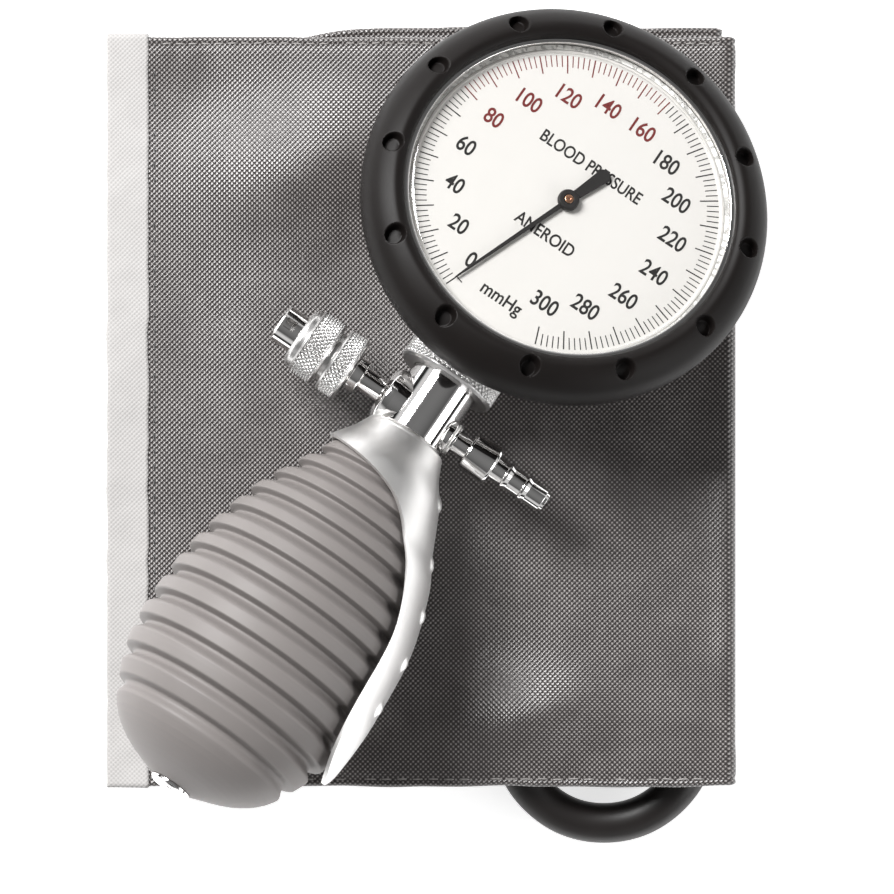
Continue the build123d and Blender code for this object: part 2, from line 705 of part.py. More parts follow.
with BuildPart() as movement_base:
    with BuildSketch(gauge_plane(ledge)):
        Circle(30.5)
        with Locations((0, inlet_y)):
            Circle(3.0, mode=Mode.SUBTRACT)
        Circle(staff_r + running, mode=Mode.SUBTRACT)
        with Locations((sector_x, sector_y)):
            Circle(arbor_r + running, mode=Mode.SUBTRACT)
    extrude(amount=base_top - ledge)
    # two lugs carry the rocking shaft
    for lug_x in (-11.0, 4.5):
        with BuildSketch(gauge_plane(base_top)):
            with Locations((lug_x, rocker_y)):
                Rectangle(1.2, 3.2)
        extrude(amount=2.4)
    with BuildSketch(Plane(origin=gauge_point(-13.0, rocker_y, rocker_height), x_dir=dial_up, z_dir=right)):
        Circle(rocker_r + running)
    extrude(amount=20.0, mode=Mode.SUBTRACT)
finish(movement_base, "movement_base")

with BuildPart() as movement_pillars:
    with BuildSketch(gauge_plane(base_top)):
        with Locations(*pillar_places):
            Circle(1.6)
            Circle(0.6, mode=Mode.SUBTRACT)
    extrude(amount=bridge_low - base_top)
finish(movement_pillars, "movement_pillars")

with BuildPart() as movement_bridge:
    with BuildSketch(gauge_plane(bridge_low)):
        Circle(22.0)
        with Locations((9.0, -5.0), (2.0, 12.5)):
            Circle(4.5, mode=Mode.SUBTRACT)
        with Locations(*pillar_places):
            Circle(0.6, mode=Mode.SUBTRACT)
        Circle(staff_r + running, mode=Mode.SUBTRACT)
        with Locations((sector_x, sector_y)):
            Circle(arbor_r + running, mode=Mode.SUBTRACT)
    extrude(amount=bridge_high - bridge_low)
    with BuildSketch(gauge_plane(bridge_high)):
        with PolarLocations(20.0, 3, start_angle=75):
            Circle(1.5)
    extrude(amount=dial_top - 0.5 - bridge_high)
    # post that holds the hairspring's outer end
    with BuildSketch(gauge_plane(bridge_low)):
        with Locations((-3.48, 0)):
            Rectangle(0.6, 0.6)
    extrude(amount=-1.2)
finish(movement_bridge, "movement_bridge")

with BuildPart() as bridge_screws:
    with BuildSketch(gauge_plane(bridge_high)):
        with Locations(*pillar_places):
            Circle(1.3)
    extrude(amount=0.7)
    with BuildSketch(gauge_plane(bridge_high)):
        with Locations(*pillar_places):
            Circle(0.6)
    extrude(amount=-4.0)
finish(bridge_screws, "bridge_screws")

# ---- capsule, its stud and the rocking shaft ------------------------------------------------------------------------------
with BuildPart() as capsule:
    with BuildSketch(Plane(origin=gauge_point(0, inlet_y, 0), x_dir=right, z_dir=dial_up * -1)):
        with BuildLine():
            Polyline(
                (1.3, -18.0), (3.0, -18.0), (3.0, -17.6), (6.0, -17.6), (7.0, -17.2), (8.5, -17.6), (10.0, -17.2), (11.4, -17.6),
                (12.4, -16.2), (12.4, -15.6), (11.4, -14.2), (10.0, -14.6), (8.5, -14.2), (7.0, -14.6), (6.0, -14.2), (0, -14.2),
                (0, -14.6), (5.8, -14.6), (7.0, -15.0), (8.5, -14.6), (10.0, -15.0), (11.2, -14.6), (12.0, -15.7),
                (12.0, -16.1), (11.2, -17.2), (10.0, -16.8), (8.5, -17.2), (7.0, -16.8), (5.8, -17.2), (1.3, -17.2), close=True,
            )
        make_face()
    revolve(axis=Axis(gauge_point(0, inlet_y, 0), normal))
finish(capsule, "capsule")

with BuildPart() as capsule_stud:
    with BuildSketch(gauge_plane(-14.2)):
        with Locations((0, inlet_y)):
            Circle(1.8)
    extrude(amount=0.5)
    with BuildSketch(gauge_plane(-13.7)):
        with Locations((0, inlet_y)):
            Circle(0.6)
    extrude(amount=1.7)
finish(capsule_stud, "capsule_stud")

with BuildPart() as rocking_shaft:
    with BuildSketch(Plane(origin=gauge_point(-14.1, rocker_y, rocker_height), x_dir=dial_up, z_dir=right)):
        Circle(rocker_r)
    extrude(amount=20.6)
    # finger over the capsule's stud
    with BuildSketch(gauge_plane(rocker_height - 0.3)):
        with Locations((0, (rocker_y + inlet_y - 0.5) / 2)):
            Rectangle(1.0, rocker_y - inlet_y + 0.5)
    extrude(amount=0.7)
    # upright that pushes the sector's peg
    with BuildSketch(gauge_plane(rocker_height)):
        with Locations((sector_x + 1.08, rocker_y)):
            Circle(0.35)
    extrude(amount=2.2)
finish(rocking_shaft, "rocking_shaft")

# ---- sector gear, pinion staff ------------------------------------------------------------------------------------------------
sector_pitch = module * sector_teeth / 2
pinion_pitch = module * pinion_teeth / 2
mesh_angle = 25.45  # from the sector's pivot to the pinion, degrees
sector_swing = dial_sweep * pinion_teeth / sector_teeth
tooth_step = 360 / sector_teeth
rim_teeth = 12


def tooth(root, tip, half_root, half_tip):
    """Face of one gear tooth that points along +X."""
    with BuildSketch(mode=Mode.PRIVATE) as outline:
        with BuildLine():
            Polyline((root, -half_root), (tip, -half_tip), (tip, half_tip), (root, half_root), close=True)
        make_face()
    return outline.sketch


with BuildPart() as sector_gear:
    with BuildSketch(gauge_plane(-9.2)):
        with Locations((sector_x, sector_y)):
            Circle(2.2)
        with BuildLine():
            low = radians(mesh_angle - sector_swing - 6)
            high = radians(mesh_angle + 6)
            mid = (low + high) / 2
            rim_r = sector_pitch - 0.36
            Line((sector_x, sector_y), (sector_x + rim_r * cos(low), sector_y + rim_r * sin(low)))
            ThreePointArc(
                (sector_x + rim_r * cos(low), sector_y + rim_r * sin(low)),
                (sector_x + rim_r * cos(mid), sector_y + rim_r * sin(mid)),
                (sector_x + rim_r * cos(high), sector_y + rim_r * sin(high)),
            )
            Line((sector_x + rim_r * cos(high), sector_y + rim_r * sin(high)), (sector_x, sector_y))
        make_face()
        for index in range(rim_teeth):
            angle = mesh_angle + tooth_step * (1 - index)
            with Locations(Location((sector_x, sector_y), angle)):
                add(tooth(rim_r - 0.1, sector_pitch + 0.26, tooth_width * 0.68, tooth_width * 0.3))
    extrude(amount=0.6)
    with BuildSketch(gauge_plane(base_top - 0.6)):
        with Locations((sector_x, sector_y)):
            Circle(arbor_r)
    extrude(amount=bridge_low + 0.5 - (base_top - 0.6))
    with BuildSketch(gauge_plane(-9.2)):
        with Locations((sector_x + 1.08, sector_y)):
            Circle(0.25)
    extrude(amount=-0.9)
finish(sector_gear, "sector_gear")

with BuildPart() as pinion_staff:
    with BuildSketch(gauge_plane(base_top - 0.6)):
        Circle(staff_r)
    extrude(amount=dial_top + 0.5 - (base_top - 0.6))
    with BuildSketch(gauge_plane(-9.7)):
        Circle(pinion_pitch - 0.36)
        for index in range(pinion_teeth):
            angle = mesh_angle + 180 + 360 / pinion_teeth * (index + 0.5)
            with Locations(Location((0, 0), angle)):
                add(tooth(pinion_pitch - 0.5, pinion_pitch + 0.24, tooth_width * 0.62, tooth_width * 0.25))
    extrude(amount=1.6)
    with BuildSketch(gauge_plane(-7.9)):
        Circle(0.85)
    extrude(amount=0.8)
finish(pinion_staff, "pinion_staff")

# ---- hairspring: half turns of growing radius -----------------------------------------------------------------------------------
with BuildPart() as hairspring:
    with BuildSketch(gauge_plane(-7.8)):
        with BuildLine():
            spiral_r = 1.0
            spiral_x = 0.0
            for half in range(13):
                CenterArc((spiral_x, 0), spiral_r, 180 * (half % 2), 180)
                spiral_x = spiral_x + (0.175 if half % 2 else -0.175) * -1
                spiral_r = spiral_r + 0.35 / 2
        trace(line_width=0.1)
    extrude(amount=0.6)
finish(hairspring, "hairspring")

# ---- pointer -----------------------------------------------------------------------------------------------------------------------
pointer_low, pointer_high = dial_top + 0.5, dial_top + 0.9
pointer_way = right * cos(radians(zero_angle)) + dial_up * sin(radians(zero_angle))
pointer_plane = Plane(origin=gauge_point(0, 0, pointer_low), x_dir=pointer_way, z_dir=normal)
with BuildPart() as pointer:
    with BuildSketch(pointer_plane):
        with BuildLine():
            Polyline(
                (0, -0.8), (29.0, -0.18), (29.0, 0.18), (0, 0.8), (-8.6, 1.15), (-8.6, -1.15), close=True,
            )
        make_face()
        with Locations((-8.9, 0)):
            Circle(1.3)
        Circle(2.15)
    extrude(amount=pointer_high - pointer_low)
    with BuildSketch(gauge_plane(pointer_high)):
        Circle(2.0)
    extrude(amount=0.8)
    with BuildSketch(gauge_plane(pointer_low)):
        Circle(0.9)
    extrude(amount=1.2, mode=Mode.SUBTRACT)
finish(pointer, "pointer")

with BuildPart() as pointer_pin:
    with BuildSketch(gauge_plane(pointer_low)):
        Circle(0.9)
    extrude(amount=1.3)
finish(pointer_pin, "pointer_pin")
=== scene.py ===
"""Palm aneroid blood pressure monitor on its folded arm cuff: the looks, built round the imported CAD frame."""

import json
import math
import random

import bmesh
import bpy
import numpy as np
from mathutils import Matrix, Vector, noise


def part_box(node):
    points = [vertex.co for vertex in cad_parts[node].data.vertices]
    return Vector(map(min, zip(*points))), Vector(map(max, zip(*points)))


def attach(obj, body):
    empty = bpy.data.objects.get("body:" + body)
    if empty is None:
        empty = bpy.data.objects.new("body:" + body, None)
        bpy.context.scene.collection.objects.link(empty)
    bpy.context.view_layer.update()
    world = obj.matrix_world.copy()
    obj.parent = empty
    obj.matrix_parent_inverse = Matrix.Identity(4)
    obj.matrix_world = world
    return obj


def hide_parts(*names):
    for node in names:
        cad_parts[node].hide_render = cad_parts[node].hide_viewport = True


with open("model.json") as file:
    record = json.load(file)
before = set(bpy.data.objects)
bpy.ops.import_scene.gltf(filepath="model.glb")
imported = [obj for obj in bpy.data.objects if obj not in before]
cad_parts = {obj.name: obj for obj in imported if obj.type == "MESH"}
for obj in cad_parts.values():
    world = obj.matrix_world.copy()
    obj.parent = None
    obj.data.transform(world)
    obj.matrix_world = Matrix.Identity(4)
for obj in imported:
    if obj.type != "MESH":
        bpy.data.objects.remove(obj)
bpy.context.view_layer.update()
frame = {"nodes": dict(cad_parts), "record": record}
random.seed(7)
MM = 0.001

# ---- where the CAD's bodies are --------------------------------------------------------
joints = {j["name"]: j for j in frame["record"]["behaviour"]["joints"]}
ahead = -Vector(joints["spoon_turn"]["axis"]).normalized()
left = Vector(joints["valve_turn"]["axis"]).normalized()
normal = -Vector(joints["pointer_turn"]["axis"]).normalized()
right = -left
up = right.cross(ahead)
dial_up = normal.cross(right)
port = Vector(joints["valve_turn"]["pos_m"])
axis_start = port - ahead * 88 * MM
gauge_centre = Vector(joints["pointer_turn"]["pos_m"])
shell_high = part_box("cuff_shell")[1]
binding_low, binding_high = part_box("edge_binding")
loop_low, loop_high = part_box("loop_patch")


def basis(origin, x, y, z):
    """A frame whose local axes are x, y and z."""
    matrix = Matrix((x, y, z)).transposed().to_4x4()
    matrix.translation = origin
    return matrix


HANDSET = basis(axis_start, up, right, ahead)
GAUGE = basis(gauge_centre, right, dial_up, normal)
LEFT_PORT = basis(port, ahead, -up, left)
RIGHT_PORT = basis(port, ahead, up, right)
ROW = Matrix.Identity(4)

# ---- camera ----------------------------------------------------------------------------
cuff_top = shell_high[2]
eye_height = 1.164
camera_data = bpy.data.cameras.new("camera")
camera_data.sensor_width = 36.0
camera_data.lens = 235.9
camera_data.clip_end = 20
camera = bpy.data.objects.new("camera", camera_data)
camera.location = (0.005, -0.007, cuff_top + eye_height)
bpy.context.collection.objects.link(camera)
bpy.context.scene.camera = camera

# ---- the hose, a free cord -------------------------------------------------------------
hose_od = 8.0
hose_z = 8.8
spout_x, hose_start_y = 17.9, -28.4
loop_x, loop_y, loop_r, loop_z = 36.45, -63.9, 18.5, 6.0
corner = loop_r * math.tan(math.radians(22.5))
hose_route = [
    (spout_x, hose_start_y, hose_z),
    (spout_x, -42.0, hose_z),
    (loop_x - loop_r + 0.5, -56.5, hose_z + 0.1),
    (loop_x - loop_r - 0.1, loop_y - corner, hose_z + 0.1),
    (loop_x - corner, loop_y - loop_r, loop_z),
    (loop_x + corner, loop_y - loop_r, loop_z),
    (loop_x + loop_r + 0.1, loop_y - corner, hose_z + 0.1),
    (loop_x + loop_r, -56.0, hose_z),
    (55.6, -37.0, hose_z),
    (54.0, -18.0, hose_z),
    (51.5, 1.0, hose_z),
    (47.0, 19.0, hose_z),
    (36.0, 35.5, hose_z),
    (18.0, 42.5, hose_z),
    (0.0, 37.0, hose_z),
    (-11.0, 21.5, hose_z),
    (-13.0, 3.0, hose_z),
]
hose_data = bpy.data.curves.new("hose_tube", "CURVE")
hose_data.dimensions = "3D"
hose_data.resolution_u = 16
hose_line = hose_data.splines.new("NURBS")
hose_line.points.add(len(hose_route) - 1)
for spot, place in zip(hose_line.points, hose_route):
    spot.co = (*(Vector(place) * MM), 1.0)
hose_line.order_u = 3
hose_line.use_endpoint_u = True
hose_guide = bpy.data.objects.new("hose_guide", hose_data)
bpy.context.collection.objects.link(hose_guide)
hose_path = [tuple(v.co) for v in bpy.data.meshes.new_from_object(hose_guide).vertices]
hose_data.bevel_depth = hose_od / 2 * MM
hose_data.bevel_resolution = 10
hose_data.use_fill_caps = True
bpy.context.view_layer.update()
hose_mesh = bpy.data.meshes.new_from_object(hose_guide)
bpy.data.objects.remove(hose_guide)
hose_mesh.polygons.foreach_set("use_smooth", [True] * len(hose_mesh.polygons))
hose_mesh.set_sharp_from_angle(angle=math.radians(50))
hose_tube = bpy.data.objects.new("hose_tube", hose_mesh)
bpy.context.collection.objects.link(hose_tube)
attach(hose_tube, "cuff")
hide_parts("hose")


# ---- mesh helpers ----------------------------------------------------------------------
def mesh_object(name, points, faces, place=ROW, sharp=35):
    """A smooth-shaded mesh object; points are millimetres in the frame `place`."""
    mesh = bpy.data.meshes.new(name)
    mesh.from_pydata([tuple(Vector(p) * MM) for p in points], [], faces)
    mesh.validate()
    tool = bmesh.new()
    tool.from_mesh(mesh)
    bmesh.ops.remove_doubles(tool, verts=tool.verts, dist=1e-6)
    bmesh.ops.recalc_face_normals(tool, faces=tool.faces)
    tool.to_mesh(mesh)
    tool.free()
    mesh.polygons.foreach_set("use_smooth", [True] * len(mesh.polygons))
    mesh.set_sharp_from_angle(angle=math.radians(sharp))
    mesh.transform(place)
    obj = bpy.data.objects.new(name, mesh)
    bpy.context.collection.objects.link(obj)
    return obj


def grid(points, wrap_u=False, wrap_v=False):
    """Flat list of points and quads for points[row][column]."""
    rows, cols = len(points), len(points[0])
    flat = [p for row in points for p in row]
    faces = []
    for i in range(rows if wrap_v else rows - 1):
        for j in range(cols if wrap_u else cols - 1):
            a, b = i * cols + j, i * cols + (j + 1) % cols
            c, d = ((i + 1) % rows) * cols + (j + 1) % cols, ((i + 1) % rows) * cols + j
            faces.append((a, b, c, d))
    return flat, faces


def rounded(profile, radius, closed=True, steps=4):
    """The profile with each corner replaced by a small arc."""
    result = []
    count = len(profile)
    for i, here in enumerate(profile):
        size = radius
        if len(here) == 3:
            size = here[2]
        spot = Vector(here[:2])
        if size <= 0 or (not closed and i in (0, count - 1)):
            result.append(tuple(spot))
            continue
        back = Vector(profile[i - 1][:2]) - spot
        on = Vector(profile[(i + 1) % count][:2]) - spot
        half = back.angle(on, math.pi) / 2
        if half > math.radians(88):
            result.append(tuple(spot))
            continue
        reach = min(size / math.tan(half), 0.45 * back.length, 0.45 * on.length)
        first, last = spot + back.normalized() * reach, spot + on.normalized() * reach
        for k in range(steps + 1):
            t = k / steps
            result.append(tuple(first * (1 - t) ** 2 + spot * 2 * t * (1 - t) + last * t**2))
    return result


def smooth_curve(points, per_span=8):
    """A Catmull-Rom curve through the points."""
    pts = [Vector(p) for p in points]
    pts = [pts[0] * 2 - pts[1]] + pts + [pts[-1] * 2 - pts[-2]]
    result = []
    for a, b, c, d in zip(pts, pts[1:], pts[2:], pts[3:]):
        for k in range(per_span):
            t = k / per_span
            spot = b * 2 + (c - a) * t + (a * 2 - b * 5 + c * 4 - d) * t * t + (b * 3 - a - c * 3 + d) * t**3
            result.append(tuple(spot / 2))
    result.append(tuple(pts[-2]))
    return result


def lathe(name, profile, place, segments=160, push=None, closed=True, sharp=35):
    """A turned piece: profile is (radius, height) in millimetres, closed on itself or open at the axis.
    push(angle, radius, height) returns how far a point moves outwards."""
    rows = []
    for i in range(segments):
        angle = 2 * math.pi * i / segments
        row = []
        for r, h in profile:
            d = push(angle, r, h) if push else (0, 0)
            row.append(((r + d[0]) * math.cos(angle), (r + d[0]) * math.sin(angle), h + d[1]))
        rows.append(row)
    flat, faces = grid(rows, wrap_u=closed, wrap_v=True)
    return mesh_object(name, flat, faces, place, sharp)


def smoothstep(low, high, x):
    t = min(max((x - low) / (high - low), 0.0), 1.0)
    return t * t * (3 - 2 * t)


# ---- material helpers ------------------------------------------------------------------
class Paint:
    """Builds one node material."""

    def __init__(self, name):
        self.material = bpy.data.materials.new(name)
        self.material.use_nodes = True
        self.nodes = self.material.node_tree.nodes
        self.links = self.material.node_tree.links
        self.shader = self.nodes["Principled BSDF"]
        self.coords = self.nodes.new("ShaderNodeTexCoord")

    def set(self, **values):
        names = {
            "base": "Base Color", "rough": "Roughness", "metal": "Metallic", "spec": "Specular IOR Level",
            "sheen": "Sheen Weight", "sheen_rough": "Sheen Roughness", "coat": "Coat Weight",
            "coat_rough": "Coat Roughness", "ior": "IOR", "aniso": "Anisotropic", "tint": "Sheen Tint",
        }
        for key, value in values.items():
            socket = self.shader.inputs[names[key]]
            if hasattr(value, "is_output"):
                self.links.new(value, socket)
            elif key in ("base", "tint"):
                socket.default_value = (*value, 1.0)
            else:
                socket.default_value = value
        return self

    def space(self, scale=(1, 1, 1), rotate=(0, 0, 0), kind="Object"):
        mapping = self.nodes.new("ShaderNodeMapping")
        mapping.inputs["Scale"].default_value = scale
        mapping.inputs["Rotation"].default_value = rotate
        self.links.new(self.coords.outputs[kind], mapping.inputs["Vector"])
        return mapping.outputs["Vector"]

    def noise(self, scale, detail=3.0, rough=0.55, vector=None, distortion=0.0):
        node = self.nodes.new("ShaderNodeTexNoise")
        node.inputs["Scale"].default_value = scale
        node.inputs["Detail"].default_value = detail
        node.inputs["Roughness"].default_value = rough
        node.inputs["Distortion"].default_value = distortion
        self.links.new(vector or self.coords.outputs["Object"], node.inputs["Vector"])
        return node.outputs["Fac"]

    def math(self, kind, a, b=0.0, c=None):
        node = self.nodes.new("ShaderNodeMath")
        node.operation = kind
        for socket, value in zip(node.inputs, (a, b, c)):
            if value is None:
                continue
            if hasattr(value, "is_output"):
                self.links.new(value, socket)
            else:
                socket.default_value = value
        return node.outputs["Value"]

    def ramp(self, value, *stops):
        """stops are (position, grey or colour)."""
        node = self.nodes.new("ShaderNodeValToRGB")
        bar = node.color_ramp
        while len(bar.elements) < len(stops):
            bar.elements.new(0.5)
        for element, (place, colour) in zip(bar.elements, stops):
            element.position = place
            element.color = (*colour, 1.0) if hasattr(colour, "__len__") else (colour, colour, colour, 1.0)
        self.links.new(value, node.inputs["Fac"])
        return node.outputs["Color"]

    def mix(self, factor, a, b, kind="MIX"):
        node = self.nodes.new("ShaderNodeMix")
        node.data_type = "RGBA"
        node.blend_type = kind
        sockets = [s for s in node.inputs if s.type in ("RGBA",)]
        factor_socket = node.inputs[0]
        for socket, value in ((factor_socket, factor), (sockets[0], a), (sockets[1], b)):
            if hasattr(value, "is_output"):
                self.links.new(value, socket)
            elif hasattr(value, "__len__"):
                socket.default_value = (*value, 1.0)
            else:
                socket.default_value = value
        return [s for s in node.outputs if s.type == "RGBA"][0]

    def bump(self, height, strength=0.5, distance=0.0002, before=None):
        node = self.nodes.new("ShaderNodeBump")
        node.inputs["Strength"].default_value = strength
        node.inputs["Distance"].default_value = distance
        self.links.new(height, node.inputs["Height"])
        if before is not None:
            self.links.new(before, node.inputs["Normal"])
        self.links.new(node.outputs["Normal"], self.shader.inputs["Normal"])
        return node.outputs["Normal"]


def weave_height(paint, vector, pitch):
    """Plain weave: threads alternately over and under, one dot per crossing."""
    split = paint.nodes.new("ShaderNodeSeparateXYZ")
    paint.links.new(vector, split.inputs["Vector"])
    turn = 2 * math.pi / (2 * pitch * MM)
    along = paint.math("COSINE", paint.math("MULTIPLY", split.outputs["X"], turn))
    across = paint.math("COSINE", paint.math("MULTIPLY", split.outputs["Y"], turn))
    return paint.math("MULTIPLY_ADD", paint.math("MULTIPLY", along, across), 0.5, 0.5)


# ---- materials -------------------------------------------------------------------------
def nylon():
    paint = Paint("nylon_weave")
    wobble = paint.noise(140.0, 2.0)
    uv = paint.coords.outputs["UV"]
    height = weave_height(paint, uv, 0.5)
    fine = paint.noise(5200.0, 2.0, vector=uv)
    # painted light in the weave colour: the bright thread crowns are a painted glint, the darker thread sides
    # are painted shade, and the dark ground between the threads is painted shade
    weave_glint_and_shade = paint.math("MULTIPLY_ADD", wobble, 0.25, paint.math("SUBTRACT", height, 0.3))
    weave_glint_and_shade = paint.math("MULTIPLY_ADD", fine, 0.35, weave_glint_and_shade)
    gap_shade, side_shade, crown_glint = (0.011, 0.0085, 0.008), (0.055, 0.046, 0.044), (0.34, 0.32, 0.31)
    colour = paint.ramp(weave_glint_and_shade, (0.25, gap_shade), (0.62, side_shade), (1.0, crown_glint))
    paint.set(base=colour, rough=0.35, spec=0.85)
    paint.bump(height, 0.75, 0.00016)
    return paint.material


def tape():
    paint = Paint("binding_tape")
    uv = paint.coords.outputs["UV"]
    height = weave_height(paint, uv, 0.45)
    dirt = paint.noise(160.0, 4.0)
    colour = paint.mix(paint.math("MULTIPLY", dirt, 0.5), (0.46, 0.448, 0.44), (0.34, 0.328, 0.32))
    shade = paint.ramp(height, (0.0, 0.78), (0.6, 1.0))
    paint.set(base=paint.mix(1.0, colour, shade, "MULTIPLY"), rough=0.7, spec=0.3, sheen=0.3)
    paint.bump(height, 0.6, 0.00012)
    return paint.material


def thread(name, colour):
    paint = Paint(name)
    twist = paint.noise(2600.0, 2.0)
    paint.set(base=paint.mix(twist, colour, tuple(c * 0.6 for c in colour)), rough=0.6, sheen=0.3)
    paint.bump(twist, 0.4, 0.00008)
    return paint.material


def rubber(name, colour, rough, spread=0.25, grain=2600.0, spec=0.45, bump=0.12):
    paint = Paint(name)
    cloud = paint.noise(70.0, 4.0)
    speck = paint.noise(grain, 2.0)
    darker, lighter = (tuple(c * (1 + side * spread) for c in colour) for side in (-1, 1))
    base = paint.mix(cloud, darker, lighter)
    roughness = paint.math("MULTIPLY_ADD", cloud, 0.12, paint.math("MULTIPLY_ADD", speck, 0.08, rough - 0.1))
    paint.set(base=base, rough=roughness, spec=spec)
    paint.bump(speck, bump, 0.00005)
    return paint.material


def chrome(name="chrome_plate", base=0.86, rough=0.05):
    paint = Paint(name)
    cloud = paint.noise(260.0, 3.0)
    smear = paint.noise(900.0, 5.0, 0.7)
    bright = (base, base * 0.985, base * 0.975)
    dull = (base * 0.94, base * 0.93, base * 0.92)
    paint.set(
        base=paint.ramp(cloud, (0.2, bright), (0.9, dull)),
        metal=1.0,
        rough=paint.math("MULTIPLY_ADD", smear, 0.07, rough - 0.02),
    )
    paint.bump(smear, 0.03, 0.00003)
    return paint.material


def satin_metal():
    paint = Paint("satin_spoon")
    fine = paint.noise(5200.0, 3.0, 0.7)
    cloud = paint.noise(60.0, 3.0)
    streak = paint.noise(900.0, 4.0)
    paint.set(
        base=paint.ramp(cloud, (0.3, (0.82, 0.81, 0.80)), (0.8, (0.74, 0.73, 0.72))),
        metal=1.0,
        rough=paint.math("MULTIPLY_ADD", streak, 0.12, paint.math("MULTIPLY_ADD", fine, 0.06, 0.34)),
    )
    paint.bump(fine, 0.06, 0.00003)
    return paint.material


def turned(name, colour, rough=0.3):
    """Machined metal with fine rings about the local z axis."""
    paint = Paint(name)
    rings = paint.noise(2400.0, 2.0, vector=paint.space((0.05, 0.05, 1)))
    paint.set(
        base=paint.mix(rings, colour, tuple(c * 0.82 for c in colour)),
        metal=1.0,
        rough=paint.math("MULTIPLY_ADD", rings, 0.2, rough - 0.08),
    )
    paint.bump(rings, 0.1, 0.00004)
    return paint.material


def dial_face():
    paint = Paint("dial_face")
    grain = paint.noise(3800.0, 3.0, 0.75)
    cloud = paint.noise(40.0, 2.0)
    base = paint.mix(grain, (0.60, 0.585, 0.572), (0.70, 0.685, 0.67))
    paint.set(
        base=paint.mix(paint.math("MULTIPLY", cloud, 0.35), base, (0.62, 0.60, 0.585)),
        metal=0.1, rough=0.45, spec=0.5,
    )
    paint.bump(grain, 0.12, 0.00004)
    return paint.material


def ink(name, colour):
    paint = Paint(name)
    cloud = paint.noise(3000.0, 2.0)
    worn = tuple(c * 1.35 + 0.004 for c in colour)
    paint.set(base=paint.mix(cloud, colour, worn), rough=0.5, spec=0.35)
    return paint.material


def clear_lens():
    paint = Paint("clear_lens")
    nodes, links = paint.nodes, paint.links
    smudge = paint.noise(90.0, 3.0)
    see = nodes.new("ShaderNodeBsdfTransparent")
    see.inputs["Color"].default_value = (0.965, 0.965, 0.96, 1)
    gloss = nodes.new("ShaderNodeBsdfGlossy")
    links.new(paint.math("MULTIPLY_ADD", smudge, 0.06, 0.01), gloss.inputs["Roughness"])
    fresnel = nodes.new("ShaderNodeFresnel")
    fresnel.inputs["IOR"].default_value = 1.47
    mix = nodes.new("ShaderNodeMixShader")
    side = nodes.new("ShaderNodeNewGeometry")
    outside = paint.math("SUBTRACT", 1.0, side.outputs["Backfacing"])
    links.new(paint.math("MULTIPLY", fresnel.outputs["Fac"], outside), mix.inputs[0])
    links.new(see.outputs["BSDF"], mix.inputs[1])
    links.new(gloss.outputs["BSDF"], mix.inputs[2])
    links.new(mix.outputs["Shader"], nodes["Material Output"].inputs["Surface"])
    nodes.remove(paint.shader)
    return paint.material


MATERIAL = {
    "nylon": nylon(),
    "tape": tape(),
    "stitch": thread("stitch_thread", (0.30, 0.285, 0.275)),
    "dark_stitch": thread("dark_thread", (0.05, 0.05, 0.05)),
    "bulb": rubber("bulb_rubber", (0.17, 0.156, 0.15), 0.55, 0.1, spec=0.35),
    "ring": rubber("ring_rubber", (0.0055, 0.0042, 0.0038), 0.5, 0.3, spec=0.16),
    "hose": rubber("hose_rubber", (0.010, 0.008, 0.0075), 0.45, 0.3, spec=0.4),
    "latex": rubber("inner_rubber", (0.10, 0.10, 0.10), 0.6),
    "chrome": chrome(),
    "knurl": chrome("knurled_chrome", 0.62, 0.3),
    "spoon": satin_metal(),
    "steel": turned("turned_steel", (0.62, 0.61, 0.6)),
    "brass": turned("machined_brass", (0.74, 0.55, 0.26), 0.32),
    "copper": turned("copper_pin", (0.62, 0.34, 0.22), 0.28),
    "case": turned("spun_case", (0.72, 0.71, 0.7), 0.22),
    "dial": dial_face(),
    "black_ink": ink("black_ink", (0.012, 0.011, 0.011)),
    "red_ink": ink("red_ink", (0.12, 0.013, 0.013)),
    "pointer": ink("pointer_paint", (0.010, 0.009, 0.009)),
    "lens": clear_lens(),
    "pile": thread("loop_pile_nap", (0.035, 0.035, 0.037)),
    "hook": thread("hook_pile_nap", (0.05, 0.05, 0.05)),
    "nylon_ring": rubber("white_washer", (0.75, 0.74, 0.72), 0.4),
}


def wear(obj, material, body, slot, *nodes):
    """Gives a finished piece its material, its CAD body and the CAD nodes that it stands for."""
    obj.data.materials.clear()
    obj.data.materials.append(MATERIAL[material])
    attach(obj, body)
    if nodes:
        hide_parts(*nodes)
    return obj


hose_mesh.materials.append(MATERIAL["hose"])

# ---- cuff: one folded strip of lined nylon ---------------------------------------------
panel = 1.6
hose_room = 8.8  # the height left between the inner fold and the bound panel for the hose
bound_x, tape_seam = -62.2, 8.0  # the bound end's middle line, and how far the tape reaches over it
shell_end = shell_high[0] / MM
lower_z = loop_high[2] / MM + panel / 2
inner_z = lower_z + panel + 0.4
under_z = inner_z + panel + hose_room
upper_z = under_z + panel + 0.7
near_y, far_y = binding_low[1] / MM, binding_high[1] / MM


